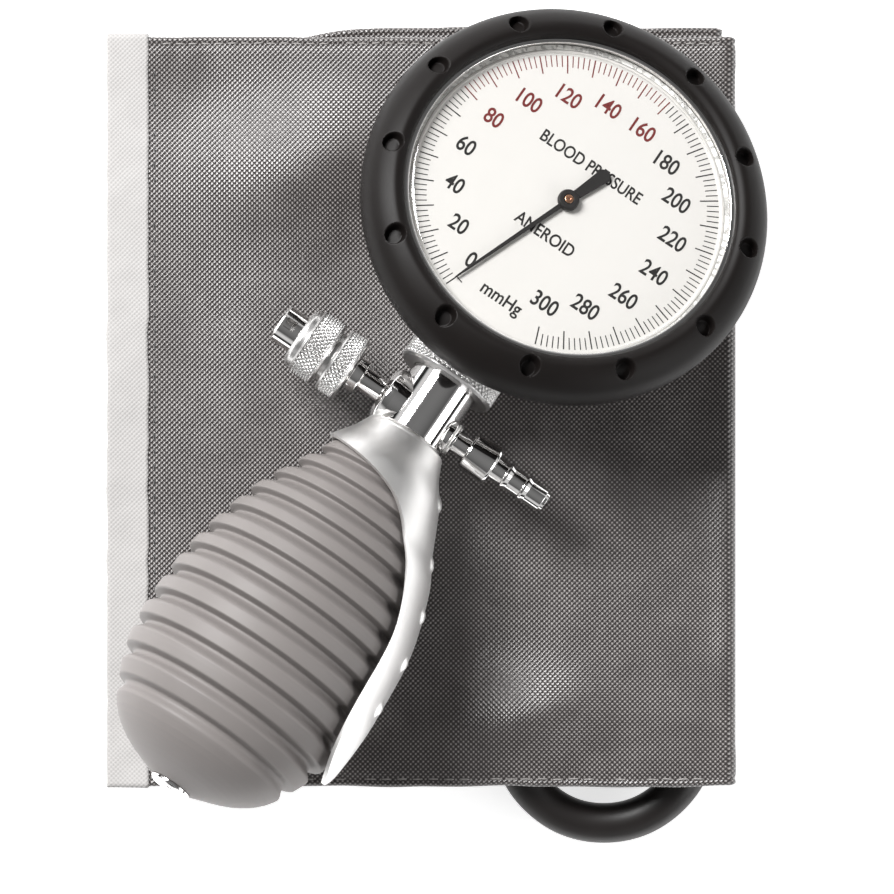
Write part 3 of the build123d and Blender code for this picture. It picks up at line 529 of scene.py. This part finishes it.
def strip_path():
    """Centreline of the folded strip as (x, z, which panel), from the bound end to the inner end."""
    step = 1.4
    bend_up, bend_left, bend_low = (upper_z - under_z) / 2, (under_z - inner_z) / 2, (inner_z - lower_z) / 2
    right_x = 62.4 - bend_up - panel / 2
    low_x = 60.4 - bend_low - panel / 2
    left_x = -62.6 + bend_left + panel / 2 + 0.2
    path = []

    def run(x0, x1, z, tag):
        count = max(2, int(abs(x1 - x0) / step))
        for k in range(count):
            path.append((x0 + (x1 - x0) * k / count, z, tag))

    def bend(x, z, r, start, turn, tag, count):
        for k in range(count):
            angle = math.radians(start + turn * k / count)
            path.append((x + r * math.cos(angle), z + r * math.sin(angle), tag))

    run(bound_x, right_x, upper_z, "top")
    bend(right_x, upper_z - bend_up, bend_up, 90, -180, "top", 10)
    run(right_x, left_x, under_z, "under")
    bend(left_x, inner_z + bend_left, bend_left, 90, 180, "under", 18)
    run(left_x, low_x, inner_z, "low")
    bend(low_x, lower_z + bend_low, bend_low, 90, -180, "low", 10)
    run(low_x, -60.6, lower_z, "base")
    path.append((-60.6, lower_z, "base"))
    return path


def cloth_lift(x, y):
    """How far the top of the cuff rises and falls, millimetres."""
    value = 0.55 * noise.noise(Vector((x / 38, y / 42, 0.3)))
    value += 0.25 * noise.noise(Vector((x / 15, y / 17, 4.1)))
    for cx, cy, wide, tall, high in HILLS:
        value += high * math.exp(-(((x - cx) / wide) ** 2) - ((y - cy) / tall) ** 2)
    edge = min(y - near_y, far_y - y)
    pucker = math.exp(-max(edge, 0) / 3.5)
    value += pucker * 0.35 * noise.noise(Vector((x / 5.0, 2.0 if y > 0 else 7.0, 0)))
    return value


# gentle rises over the hose and the bladder, and hollows between them: (x, y, width, length, height)
HILLS = [
    (-22.0, 50.0, 16.0, 12.0, 3.2),
    (-42.0, 62.0, 14.0, 10.0, -0.8),
    (-46.0, 25.0, 12.0, 18.0, -0.6),
    (22.0, -60.0, 11.5, 7.5, 3.1),
    (8.0, -48.0, 14.0, 9.0, -0.7),
    (54.0, 20.0, 9.0, 40.0, -0.5),
]


def woven(name, points, faces, uvs):
    """A cloth mesh whose UVs run along its threads, in metres."""
    mesh = bpy.data.meshes.new(name)
    mesh.from_pydata([tuple(Vector(p) * MM) for p in points], [], faces)
    layer = mesh.uv_layers.new(name="weave")
    flat_uv = [uv for row in uvs for uv in row]
    for loop in mesh.loops:
        layer.data[loop.index].uv = flat_uv[loop.vertex_index]
    mesh.polygons.foreach_set("use_smooth", [True] * len(mesh.polygons))
    obj = bpy.data.objects.new(name, mesh)
    bpy.context.collection.objects.link(obj)
    return obj


def cuff_cloth():
    path = strip_path()
    count = len(path)
    inner_fold = ("low", "base")
    # stations across the panel, closer together near the hems
    stations = [0.35 * k for k in range(5)] + [1.4 + k * 0.9 for k in range(1, 6)]
    middle = 60
    total = 149.0
    body = [stations[-1] + (total - 2 * stations[-1]) * k / middle for k in range(1, middle)]
    v_list = stations + body + [total - s for s in reversed(stations)]
    length = 0.0
    lengths = [0.0]
    for a, b in zip(path, path[1:]):
        length += math.hypot(b[0] - a[0], b[1] - a[1])
        lengths.append(length)
    points, uvs = [], []
    for i, (x, z, tag) in enumerate(path):
        before, after = path[max(i - 1, 0)], path[min(i + 1, count - 1)]
        way = Vector((after[0] - before[0], after[1] - before[1]))
        way = way.normalized() if way.length > 0 else Vector((1, 0))
        out = Vector((-way.y, way.x))
        # the inner fold lies a little askew and shows beyond the far edge
        far = far_y
        near = near_y
        if tag in inner_fold or tag == "under" and x < -58:
            blend = 1.0 if tag in inner_fold else smoothstep(-58, -62, x)
            far_inner = 73.4 + 3.9 * smoothstep(-42, -6, x)
            far = far + (far_inner - far) * blend
            near = near + 4.4 * blend
        ring, ring_uv = [], []
        # outer face, far cap, inner face, near cap
        hem = [near + (far - near) * v / total for v in v_list]
        for side in (1, -1):
            ys = hem if side == 1 else hem[::-1]
            for y in ys:
                edge = min(y - near, far - y)
                roll = max(0.8 - edge, 0.0) / 0.8
                thick = panel / 2 * math.sqrt(max(1 - roll**2, 0.0))
                swell = 0.12 * smoothstep(7.4, 6.6, edge) - 0.25 * math.exp(-((edge - 1.5) / 0.5) ** 2)
                offset = side * max(thick + (swell if edge > 0.2 else 0), 0.0)
                rise = cloth_lift(x, y) if tag == "top" else 0.0
                fade = smoothstep(shell_end - 1.0, shell_end - 6.0, x) if tag == "top" else 0.0
                ripple = noise.noise(Vector((x / 11, 3.0 if y > 0 else 8.0, z / 9)))
                wander = 0.35 * ripple * math.exp(-edge / 4)
                ring.append((x + out.x * offset, y + wander, z + out.y * offset + rise * fade))
                ring_uv.append((lengths[i] * MM, y * MM))
        points.append(ring)
        uvs.append(ring_uv)
    flat, faces = grid(points, wrap_u=True)
    cols = len(points[0])
    faces.append(tuple(range(cols))[::-1])
    faces.append(tuple((count - 1) * cols + j for j in range(cols)))
    obj = woven("cuff_cloth", flat, faces, uvs)
    obj.data.set_sharp_from_angle(angle=math.radians(60))
    return obj


cloth = wear(cuff_cloth(), "nylon", "cuff", "nylon", "cuff_shell")


def binding():
    """Woven tape folded over the bound end."""
    width, cover = tape_seam, 0.28
    rows = []
    uvs = []
    ys = np.linspace(near_y - 0.2, far_y + 0.6, 150)
    section = []
    for k in range(14):
        section.append((width * (1 - k / 13.0), panel / 2 + cover))
    for k in range(1, 8):
        angle = math.pi / 2 + math.pi * k / 8
        section.append((math.cos(angle) * 0.4, math.sin(angle) * (panel / 2 + cover)))
    for k in range(14):
        section.append((width * k / 13.0, -(panel / 2 + cover)))
    for y in ys:
        row, row_uv = [], []
        for k, (dx, dz) in enumerate(section):
            wave = 0.32 * noise.noise(Vector((y / 9.0, 1.0, 0.0)))
            wave += 0.2 * noise.noise(Vector((y / 3.5, 6.0, 0.0)))
            lift = cloth_lift(bound_x + dx, min(max(y, near_y), far_y)) if dz > 0 else 0.0
            ripple = 0.12 * noise.noise(Vector((y / 4.0, dx / 5.0, 3.0))) if dz > 0 else 0.0
            sway = wave * (1 if k < 2 or 14 < k < 21 else 0.4)
            row.append((-62.3 + dx + sway, y, upper_z + dz + lift + ripple))
            row_uv.append((k * 0.6 * MM, y * MM))
        rows.append(row)
        uvs.append(row_uv)
    flat, faces = grid(rows)
    obj = woven("binding_tape", flat, faces, uvs)
    thick = obj.modifiers.new("thickness", "SOLIDIFY")
    thick.thickness = 0.25 * MM
    thick.offset = 1.0
    return obj


tape_piece = wear(binding(), "tape", "cuff", "tape", "edge_binding")


def stitches(name, line, pitch, length, thickness, lift):
    """Short threads along a line of (x, y), lying on the cuff's top."""
    ends, ring = 6, 6  # spans along a stitch and points round it
    points, faces = [], []
    run = [Vector(p) for p in line]
    for a, b in zip(run, run[1:]):
        way = (b - a).normalized()
        side = Vector((-way.y, way.x))
        for k in range(int((b - a).length / pitch)):
            if random.random() < 0.06:
                continue
            middle = a + way * (pitch * (k + 0.5)) + side * random.uniform(-0.08, 0.08)
            turn = way + side * random.uniform(-0.08, 0.08)
            turn.normalize()
            start = len(points)
            for e in range(ends + 1):
                t = e / ends * 2 - 1
                spot = middle + turn * (t * length / 2)
                height = upper_z + panel / 2 + cloth_lift(spot.x, spot.y) + lift - 0.30 * t**4
                r = thickness * (1 - 0.45 * t**6)
                across = Vector((-turn.y, turn.x))
                for q in range(ring):
                    angle = 2 * math.pi * q / ring
                    flat = spot + across * (r * math.cos(angle))
                    points.append((flat.x, flat.y, height + r * math.sin(angle)))
            for e in range(ends):
                low, high = start + e * ring, start + (e + 1) * ring
                for q in range(ring):
                    after = (q + 1) % ring
                    faces.append((low + q, low + after, high + after, high + q))
            faces.append(tuple(start + q for q in range(ring))[::-1])
            faces.append(tuple(start + ends * ring + q for q in range(ring)))
    return mesh_object(name, points, faces, ROW, 60)


stitch_lift = -0.05
# name, line, pitch, length, thickness, material, slot
seams = [
    ("near_hem_stitches", [(-52, near_y + 1.5), (58, near_y + 1.5)], 3.1, 2.5, 0.17, "stitch", "tape"),
    ("far_hem_stitches", [(-52, far_y - 1.3), (60, far_y - 1.3)], 2.6, 2.1, 0.17, "stitch", "tape"),
    ("binding_stitches", [(-53.1, near_y + 2), (-53.1, far_y - 2)], 3.0, 2.3, 0.16, "dark_stitch", "nylon"),
]
for name, line, pitch, length, thickness, material, slot in seams:
    wear(stitches(name, line, pitch, length, thickness, stitch_lift), material, "cuff", slot)

# ---- bulb: ribbed rubber ---------------------------------------------------------------
bulb_outline = [
    (4.9, 0.6), (12.4, 3.6), (17.5, 7.6), (20.8, 13.6), (22.8, 19.0), (23.8, 24.5), (24.1, 31.0),
    (23.6, 40.5), (22.0, 49.4), (19.1, 59.3), (16.2, 65.2), (13.3, 71.1), (11.0, 75.1), (7.6, 79.0),
    (7.4, 81.1),
]
rib_edges = [12.0, 17.9, 23.8, 29.6, 35.3, 40.8, 46.1, 51.5, 56.7, 61.6, 66.5, 71.3]
outline = smooth_curve(bulb_outline, 4)
outline_s = np.array([h for r, h in outline])
outline_r = np.array([r for r, h in outline])


def rib_cut(s):
    """Depth of the sawtooth grooves that run round the bulb: a steep wall, then a gentle ramp."""
    for edge in rib_edges:
        depth = 1.9 if edge > 14 else 1.5
        back = s - edge
        if -2.6 < back < 0.9:
            if back > 0:
                return depth * (1 - smoothstep(0.0, 0.9, back))
            return depth * smoothstep(-2.6, -0.2, back)
    return 0.0


def bulb_piece():
    steps = 640
    profile = []
    for k in range(steps + 1):
        s = 0.6 + (81.0 - 0.6) * k / steps
        r = float(np.interp(s, outline_s, outline_r))
        profile.append((r - rib_cut(s), s))
    profile = [(3.2, 0.6)] + profile + [(4.25, 81.0), (4.25, 70.0)]
    return lathe("bulb_ribbed", profile, HANDSET, 240, closed=False, sharp=70)


wear(bulb_piece(), "bulb", "handset", "latex", "bulb")

intake = rounded(
    [
        (1.2, -0.2), (2.0, -0.4), (3.6, -0.5), (4.3, 0.0), (4.3, 0.6), (3.2, 0.6), (3.2, 9.0), (2.3, 9.0),
        (2.3, 2.0), (1.2, 2.0),
    ],
    0.2,
)
wear(lathe("intake_valve", intake, HANDSET, 96), "chrome", "handset", "chrome", "intake_valve_body")

# ---- spoon handle ----------------------------------------------------------------------
sheet = 0.8
blade_turn = math.radians(90 - 14.0)  # from up towards right
spoon_line = smooth_curve(
    [
        (25.2, 15.0), (26.0, 26.0), (25.9, 34.0), (24.6, 47.4), (20.9, 59.3), (17.7, 65.2), (14.9, 71.1),
        (12.9, 75.1), (10.2, 79.0), (8.5, 82.4),
    ],
    6,
)
spoon_s = np.array([h for r, h in spoon_line])
spoon_r = np.array([r for r, h in spoon_line])
# half width of the blade as an angle about the axis, by station
blade_edge = smooth_curve(
    [
        (16.3, 0.6), (17.2, 4.2), (18.6, 8.4), (21.0, 13.4), (24.9, 18.2), (30.0, 21.2), (36.0, 22.0),
        (42.0, 22.2), (47.5, 23.0), (53.0, 26.0), (58.0, 31.0), (63.0, 38.5), (67.0, 48.0), (70.0, 62.0),
        (72.0, 84.0), (73.4, 112.0), (74.6, 146.0), (75.4, 180.0),
    ],
    8,
)
edge_s = np.array([a for a, b in blade_edge])
edge_a = np.array([b for a, b in blade_edge])
bumps = [34.5, 44.6, 54.4, 64.2, 75.2]


def spoon_piece():
    rows = []
    stations = [(float(s), min(float(a), 180.0)) for s, a in zip(edge_s, edge_a)]
    fine = []
    for (s0, a0), (s1, a1) in zip(stations, stations[1:]):
        count = max(1, int((s1 - s0) / 0.22))
        for k in range(count):
            fine.append((s0 + (s1 - s0) * k / count, a0 + (a1 - a0) * k / count))
    for k in range(36):
        fine.append((75.4 + (82.6 - 75.4) * k / 35, 180.0))
    columns = 112
    for s, a in fine:
        row = []
        for k in range(columns + 1):
            angle = math.radians(a) * (2 * k / columns - 1)
            r = float(np.interp(s, spoon_s, spoon_r))
            for bump in bumps:
                reach = math.hypot(s - bump, r * angle)
                if reach < 2.1:
                    r += 0.62 * (1 - smoothstep(0.4, 2.0, reach))
            row.append((r * math.cos(blade_turn + angle), r * math.sin(blade_turn + angle), s))
        rows.append(row)
    # collar turned in to the connector
    for r, s in ((8.2, 83.0), (7.4, 83.2), (6.0, 83.2), (4.75, 83.2)):
        turns = [blade_turn + math.pi * (2 * k / columns - 1) for k in range(columns + 1)]
        rows.append([(r * math.cos(turn), r * math.sin(turn), s) for turn in turns])
    flat, faces = grid(rows)
    obj = mesh_object("spoon_blade", flat, faces, HANDSET, 80)
    thick = obj.modifiers.new("sheet", "SOLIDIFY")
    thick.thickness = sheet * MM
    thick.offset = -1.0
    thick.use_even_offset = True
    rim = obj.modifiers.new("rim", "BEVEL")
    rim.width = 0.28 * MM
    rim.segments = 4
    rim.limit_method = "ANGLE"
    rim.angle_limit = math.radians(55)
    return obj


wear(spoon_piece(), "spoon", "spoon", "spring_steel", "spoon_handle")

# ---- valve block, nut and stem ---------------------------------------------------------
connector = rounded(
    [
        (1.4, 66), (3.6, 66), (4.2, 67), (4.2, 81.2), (7.0, 81.2), (7.0, 82.3), (4.3, 82.3), (4.3, 85.6),
        (2.6, 85.6), (2.6, 74), (1.4, 74),
    ],
    0.12,
)
wear(lathe("connector", connector, HANDSET, 96), "chrome", "handset", "chrome", "bulb_connector")
block = rounded(
    [
        (4.35, 83.35), (6.9, 83.35, 0.5), (6.9, 97.5, 0.2), (8.0, 97.5), (8.0, 99.4), (1.3, 99.4),
        (1.3, 85.6), (4.35, 85.6),
    ],
    0.15,
)
wear(lathe("block_barrel", block, HANDSET, 160), "chrome", "handset", "chrome", "valve_block")
boss = rounded(
    [(0, 4.0, 0), (6.0, 4.0), (6.2, 6.6, 1.5), (5.9, 8.3, 0.8), (4.4, 9.2, 0.9), (2.4, 9.2), (0, 9.2, 0)],
    0.3,
    closed=False,
)
wear(lathe("left_boss", boss, LEFT_PORT, 128, closed=False), "chrome", "handset", "chrome")
spot_face = rounded([(0, 4.0, 0), (3.8, 4.0), (3.8, 7.2, 0.4), (2.3, 7.2), (0, 7.2, 0)], 0.2, closed=False)
wear(lathe("right_boss", spot_face, RIGHT_PORT, 96, closed=False), "chrome", "handset", "chrome")


def knurl(start, end, radius, around, depth):
    """Diamond knurl between two stations; returns the push function for a turned piece."""
    cell = 2 * math.pi * radius / around

    def push(angle, r, h):
        if h < start or h > end or r < radius - 0.45:
            return (0.0, 0.0)
        a = angle * around / (2 * math.pi)
        b = (h - start) / cell
        first = abs((a + b) % 1.0 - 0.5) * 2
        second = abs((a - b) % 1.0 - 0.5) * 2
        edge = smoothstep(0, 0.25, min(h - start, end - h))
        crest = min(1 - first, 1 - second)
        return (-depth * edge * (1 - crest * 1.6 if crest < 0.625 else 0.0), 0.0)

    return push


def dense(profile, radius, step):
    """Adds closely spaced points to the straight stretches at that radius."""
    result = []
    for a, b in zip(profile, profile[1:] + profile[:1]):
        result.append(a)
        if abs(a[0] - radius) < 0.03 and abs(b[0] - radius) < 0.03 and abs(a[1] - b[1]) > 1.0:
            count = int(abs(b[1] - a[1]) / step)
            for k in range(1, count):
                result.append((a[0] + (b[0] - a[0]) * k / count, a[1] + (b[1] - a[1]) * k / count))
    return result


nut = rounded(
    [
        (7.0, 96.4), (9.8, 96.4), (10.2, 96.9), (10.2, 102.3), (9.7, 102.5), (9.8, 103.2), (8.2, 103.2),
        (8.2, 97.5), (7.0, 97.5),
    ],
    0.15,
)
nut = dense(nut, 10.2, 0.11)
nut_knurl = knurl(97.0, 102.2, 10.2, 54, 0.42)
wear(lathe("nut_knurled", nut, HANDSET, 480, nut_knurl, sharp=60), "knurl", "handset", "chrome", "union_nut")

# ---- release valve ---------------------------------------------------------------------
housing = rounded(
    [
        (0.8, 5.0), (2.35, 5.0), (2.35, 13.9), (3.55, 13.9, 0.3), (3.55, 16.1, 0.3), (3.1, 16.1), (3.1, 19.6),
        (1.55, 19.6), (1.55, 16.6), (2.1, 16.6), (2.1, 11.0), (1.55, 11.0), (1.55, 6.9), (0.8, 6.7),
    ],
    0.1,
)
wear(lathe("valve_housing", housing, LEFT_PORT, 96), "chrome", "handset", "chrome", "release_valve_housing")
knob = rounded(
    [
        (3.4, 16.4), (6.4, 16.4, 0.3), (6.85, 16.9), (6.85, 20.3), (6.5, 20.75, 0.2), (5.2, 20.8),
        (5.2, 21.8), (6.5, 21.85, 0.2), (6.85, 22.3), (6.85, 26.8), (6.3, 27.1, 0.2), (6.25, 28.1, 0.5),
        (5.4, 28.9, 0.6),
        (1.5, 28.9), (1.5, 21.9), (3.4, 21.9),
    ],
    0.12,
)
knob = dense(knob, 6.85, 0.09)
inner_knurl = knurl(16.9, 20.3, 6.85, 40, 0.4)
outer_knurl = knurl(22.3, 26.8, 6.85, 40, 0.4)


def knob_push(angle, r, h):
    return inner_knurl(angle, r, h) if h < 21 else outer_knurl(angle, r, h)


release_knob = lathe("release_knob_knurled", knob, LEFT_PORT, 368, knob_push, sharp=60)
wear(release_knob, "knurl", "valve_knob", "chrome", "release_knob")

# ---- hose nipple -----------------------------------------------------------------------
nipple = rounded(
    [
        (1.2, 7.0), (2.25, 7.0), (2.25, 7.6), (3.5, 7.6), (3.5, 8.1), (2.25, 8.1), (2.25, 11.2),
        (3.5, 11.2, 0.2), (3.8, 11.6, 0.4), (4.25, 16.8, 0.3), (4.0, 17.3, 0.3), (2.45, 17.3), (2.45, 19.9),
        (2.85, 20.05, 0.1), (2.85, 20.5, 0.1), (2.45, 21.3), (2.45, 24.1), (2.85, 24.25, 0.1),
        (2.85, 24.7, 0.1), (2.45, 25.5), (2.45, 28.9), (2.1, 28.95), (2.0, 29.6, 0.1), (1.2, 29.6),
    ],
    0.08,
)
wear(lathe("nipple_turned", nipple, RIGHT_PORT, 112), "chrome", "handset", "chrome", "hose_nipple")

# ---- gauge: bumper, bezel, lens --------------------------------------------------------
bumper_outline = smooth_curve(
    [
        (32.8, 0.05), (33.4, 1.0), (34.8, 1.5), (36.4, 0.9), (38.2, -0.4), (39.6, -2.2), (40.4, -4.7),
        (40.3, -7.2), (39.5, -9.8), (38.0, -12.2), (36.3, -13.2), (34.6, -13.5),
    ],
    9,
)
bumper_seat = rounded([(32.5, -13.5), (32.5, -7.5), (33.3, -7.5), (33.3, -0.35)], 0.0)
bumper_profile = [(32.8, -0.35)] + bumper_outline + bumper_seat
dimple_ring, dimple_r = 36.2, 1.85
dimples = [math.radians(19 + 30 * k) for k in range(12)]


def dimple_push(angle, r, h):
    if h < -3.6 or r < 33.6:
        return (0.0, 0.0)
    for middle in dimples:
        turn = (angle - middle + math.pi) % (2 * math.pi) - math.pi
        if abs(turn) > 0.08:
            continue
        reach = math.hypot(r * math.sin(turn), r * math.cos(turn) - dimple_ring)
        if reach < dimple_r + 0.35:
            return (0.0, -2.3 * (1 - smoothstep(dimple_r - 0.45, dimple_r + 0.2, reach)))
    return (0.0, 0.0)


bumper_ring = lathe("bumper_ring", bumper_profile, GAUGE, 1440, dimple_push, sharp=60)
wear(bumper_ring, "ring", "handset", "black_rubber", "rubber_bumper")
bezel = rounded(
    [(32.42, -7.4), (33.2, -7.4), (33.2, -0.4, 0.2), (31.95, -0.4, 0.2), (31.95, -0.9), (32.42, -1.0)], 0.08
)
wear(lathe("bezel_turned", bezel, GAUGE, 256), "chrome", "handset", "chrome", "bezel_ring")
lens_profile = (
    [(30.6, -2.9), (32.35, -2.9), (32.35, -1.15), (32.2, -1.02), (31.9, -0.9), (31.75, -0.5), (31.3, -0.15)]
    + smooth_curve([(30.4, 0.0), (23.0, 0.43), (15.3, 0.75), (8.0, 0.93), (0, 1.0)], 8)
    + smooth_curve([(0, -0.4), (8.0, -0.47), (15.0, -0.65), (23.0, -0.98), (29.6, -1.4)], 8)
    + [(30.3, -1.9), (30.6, -2.5)]
)
wear(lathe("lens_moulded", lens_profile, GAUGE, 256, sharp=50), "lens", "handset", "lens", "lens")

rim = rounded(
    [(30.35, -3.4), (30.35, -3.24), (30.6, -3.24), (30.9, -2.95), (31.3, -2.95), (31.3, -3.4)], 0.05
)
wear(lathe("dial_rim", rim, GAUGE, 256), "dial", "handset", "dial")

# ---- dial printing ---------------------------------------------------------------------
dial_z = -3.3
zero_angle, sweep_angle, full_scale = 250.0, 320.0, 300
print_z = dial_z + 0.02


def dial_angle(value):
    return math.radians(zero_angle - sweep_angle * value / full_scale)


def bar(points, faces, angle, inner, outer, half):
    """One printed line, as a thin raised bar pointing along the radius."""
    out, side = Vector((math.cos(angle), math.sin(angle))), Vector((-math.sin(angle), math.cos(angle)))
    start = len(points)
    for z in (print_z - 0.03, print_z):
        for r, w in ((inner, -half), (outer, -half), (outer, half), (inner, half)):
            spot = out * r + side * w
            points.append((spot.x, spot.y, z))
    for quad in ((3, 2, 1, 0), (4, 5, 6, 7), (0, 1, 5, 4), (1, 2, 6, 5), (2, 3, 7, 6), (3, 0, 4, 7)):
        faces.append(tuple(start + q for q in quad))


inks = {"black_ink": ([], []), "red_ink": ([], [])}
for value in range(0, full_scale + 1, 2):
    tone = "red_ink" if 80 <= value <= 160 else "black_ink"
    inner = 26.6 if value % 10 == 0 else 27.9
    bar(*inks[tone], dial_angle(value), inner, 30.3, 0.13 if value % 10 == 0 else 0.1)
bar(*inks["black_ink"], dial_angle(0) + 0.028, 27.5, 27.75, 0.75)
for tone, (points, faces) in inks.items():
    wear(mesh_object(f"ticks_{tone}", points, faces, GAUGE), tone, "handset", "pointer_black")


def print_text(name, text, size, place, tone, stretch):
    data = bpy.data.curves.new(name, "FONT")
    data.body = text
    data.size = size * MM
    data.align_x, data.align_y = "CENTER", "CENTER"
    data.extrude = 0.015 * MM
    data.offset = 0.045 * MM * size / 3
    maker = bpy.data.objects.new(name, data)
    bpy.context.collection.objects.link(maker)
    bpy.context.view_layer.update()
    mesh = bpy.data.meshes.new_from_object(maker)
    bpy.data.objects.remove(maker)
    obj = bpy.data.objects.new(name, mesh)
    bpy.context.collection.objects.link(obj)
    local = Matrix.Translation(Vector((*place, print_z)) * MM) @ Matrix.Diagonal((stretch, 1, 1, 1))
    mesh.transform(GAUGE @ local)
    return wear(obj, tone, "handset", "pointer_black")


# the dial's top points along the handset, so its lettering stands upright in that direction
for value in range(0, full_scale + 1, 20):
    reach = 23.4 if value == 0 else 22.5 if value < 80 else 21.8
    angle = dial_angle(value if value else 2.5)
    tone = "red_ink" if 80 <= value <= 160 else "black_ink"
    place = (reach * math.cos(angle), reach * math.sin(angle))
    print_text(f"numeral_{value}", str(value), 4.7, place, tone, 0.8)
print_text("unit", "mmHg", 3.9, (0, -24.6), "black_ink", 0.85)
print_text("word", "BLOOD PRESSURE", 3.7, (0, 8.8), "black_ink", 0.78)
print_text("word_type", "ANEROID", 3.7, (0, -8.4), "black_ink", 0.82)

# ---- pointer ---------------------------------------------------------------------------
POINTER = GAUGE @ Matrix.Rotation(math.radians(zero_angle), 4, "Z")
pointer_low, pointer_thick = dial_z + 0.5, 0.4


def plate(name, outline, low, thick, place, bevel):
    points = [(x, y, low) for x, y in outline] + [(x, y, low + thick) for x, y in outline]
    count = len(outline)
    faces = [tuple(range(count))[::-1], tuple(range(count, 2 * count))]
    faces += [(k, (k + 1) % count, count + (k + 1) % count, count + k) for k in range(count)]
    obj = mesh_object(name, points, faces, place)
    soft = obj.modifiers.new("edge", "BEVEL")
    soft.width = bevel * MM
    soft.segments = 3
    soft.limit_method = "ANGLE"
    return obj


tail_x, tail_r = -8.9, 1.45
tail_turns = [math.radians(a) for a in range(105, 256, 15)]
tail = [(tail_x + tail_r * math.cos(a), tail_r * math.sin(a)) for a in tail_turns]
outline = [(28.3, -0.10), (28.3, 0.10), (25.6, 0.26), (2.0, 0.5), (0, 0.9), (-3.0, 1.0)] + tail
outline += [(-3.0, -1.0), (0, -0.9), (2.0, -0.5), (25.6, -0.26)]
pointer_arm = plate("pointer_arm", outline, pointer_low, pointer_thick, POINTER, 0.1)
wear(pointer_arm, "pointer", "pointer", "pointer_black", "pointer")
hub = rounded([(0.95, -2.8), (2.15, -2.8), (2.15, -2.1), (1.9, -1.6), (0.95, -1.6)], 0.12)
wear(lathe("pointer_hub", hub, GAUGE, 64), "pointer", "pointer", "pointer_black")
pin = rounded(
    [(0, -2.8, 0), (0.9, -2.8), (0.9, -1.55, 0.2), (0.35, -1.5), (0.3, -1.8), (0, -1.8, 0)],
    0.06,
    closed=False,
)
pointer_pin = lathe("pointer_pin_turned", pin, GAUGE, 48, closed=False)
wear(pointer_pin, "copper", "pointer", "copper_pin", "pointer_pin")

# ---- the CAD pieces that show as they are ----------------------------------------------
PLAIN = {
    "cuff_bladder": "latex", "bladder_spout": "latex", "hook_patch": "hook", "loop_patch": "pile",
    "intake_cage": "steel", "intake_disc": "latex", "outlet_cage": "steel", "outlet_disc": "latex",
    "valve_packing": "latex", "valve_needle": "steel", "knob_end_cap": "chrome",
    "nipple_washer": "nylon_ring",
    "stem_seal": "latex", "inlet_stem": "chrome", "stem_screws": "steel", "gauge_case": "case",
    "lens_gasket": "nylon_ring", "dial_plate": "dial", "movement_base": "brass", "movement_pillars": "brass",
    "movement_bridge": "brass", "bridge_screws": "steel", "capsule": "copper", "capsule_stud": "brass",
    "hairspring": "copper", "sector_gear": "brass", "rocking_shaft": "steel", "pinion_staff": "steel",
}
for node, name in PLAIN.items():
    piece = frame["nodes"][node]
    piece.data.materials.clear()
    piece.data.materials.append(MATERIAL[name])

# ---- floor and light -------------------------------------------------------------------
floor_mesh = bpy.data.meshes.new("floor")
floor_mesh.from_pydata([(-3, -3, 0), (3, -3, 0), (3, 3, 0), (-3, 3, 0)], [], [(0, 1, 2, 3)])
floor = bpy.data.objects.new("floor", floor_mesh)
bpy.context.collection.objects.link(floor)
floor.location.z = loop_low[2] - 0.0001
floor_paint = Paint("pale_floor")
floor_tone = floor_paint.ramp(floor_paint.noise(30.0, 2.0), (0.0, 0.90), (1.0, 0.93))
floor_paint.set(base=floor_tone, rough=0.8, spec=0.2)
floor_paint.shader.inputs["Emission Color"].default_value = (1.0, 1.0, 1.0, 1.0)
floor_paint.shader.inputs["Emission Strength"].default_value = 0.7
floor_mesh.materials.append(floor_paint.material)


def softbox(name, place, target, size, power):
    data = bpy.data.lights.new(name, "AREA")
    data.shape = "RECTANGLE"
    data.size, data.size_y = size
    data.energy = power
    light = bpy.data.objects.new(name, data)
    light.location = place
    light.rotation_euler = (Vector(target) - Vector(place)).to_track_quat("-Z", "Y").to_euler()
    bpy.context.collection.objects.link(light)


softbox("key", (-0.55, 0.68, 0.95), (0, 0, 0), (0.6, 0.5), 34.0)
softbox("fill", (0.85, -0.5, 0.5), (0, 0, 0), (0.6, 0.5), 4.0)

world = bpy.data.worlds.new("studio")
bpy.context.scene.world = world
world.use_nodes = True
nodes, links = world.node_tree.nodes, world.node_tree.links
backdrop = nodes["Background"]
where = nodes.new("ShaderNodeTexCoord")
split = nodes.new("ShaderNodeSeparateXYZ")
links.new(where.outputs["Generated"], split.inputs["Vector"])
bands = nodes.new("ShaderNodeValToRGB")
links.new(split.outputs["Z"], bands.inputs["Fac"])
stops = [(0.0, 0.5), (0.06, 0.03), (0.22, 0.03), (0.34, 0.9), (0.55, 0.9), (0.72, 0.12), (1.0, 0.25)]
while len(bands.color_ramp.elements) < len(stops):
    bands.color_ramp.elements.new(0.5)
for element, (place, grey) in zip(bands.color_ramp.elements, stops):
    element.position = place
    element.color = (grey, grey, grey, 1)
path_kind = nodes.new("ShaderNodeLightPath")
plain = nodes.new("ShaderNodeMixRGB")
links.new(path_kind.outputs["Is Camera Ray"], plain.inputs["Fac"])
links.new(bands.outputs["Color"], plain.inputs["Color1"])
plain.inputs["Color2"].default_value = (0.9, 0.9, 0.9, 1)
links.new(plain.outputs["Color"], backdrop.inputs["Color"])
backdrop.inputs["Strength"].default_value = 0.8
bpy.context.scene.view_settings.view_transform = "Standard"
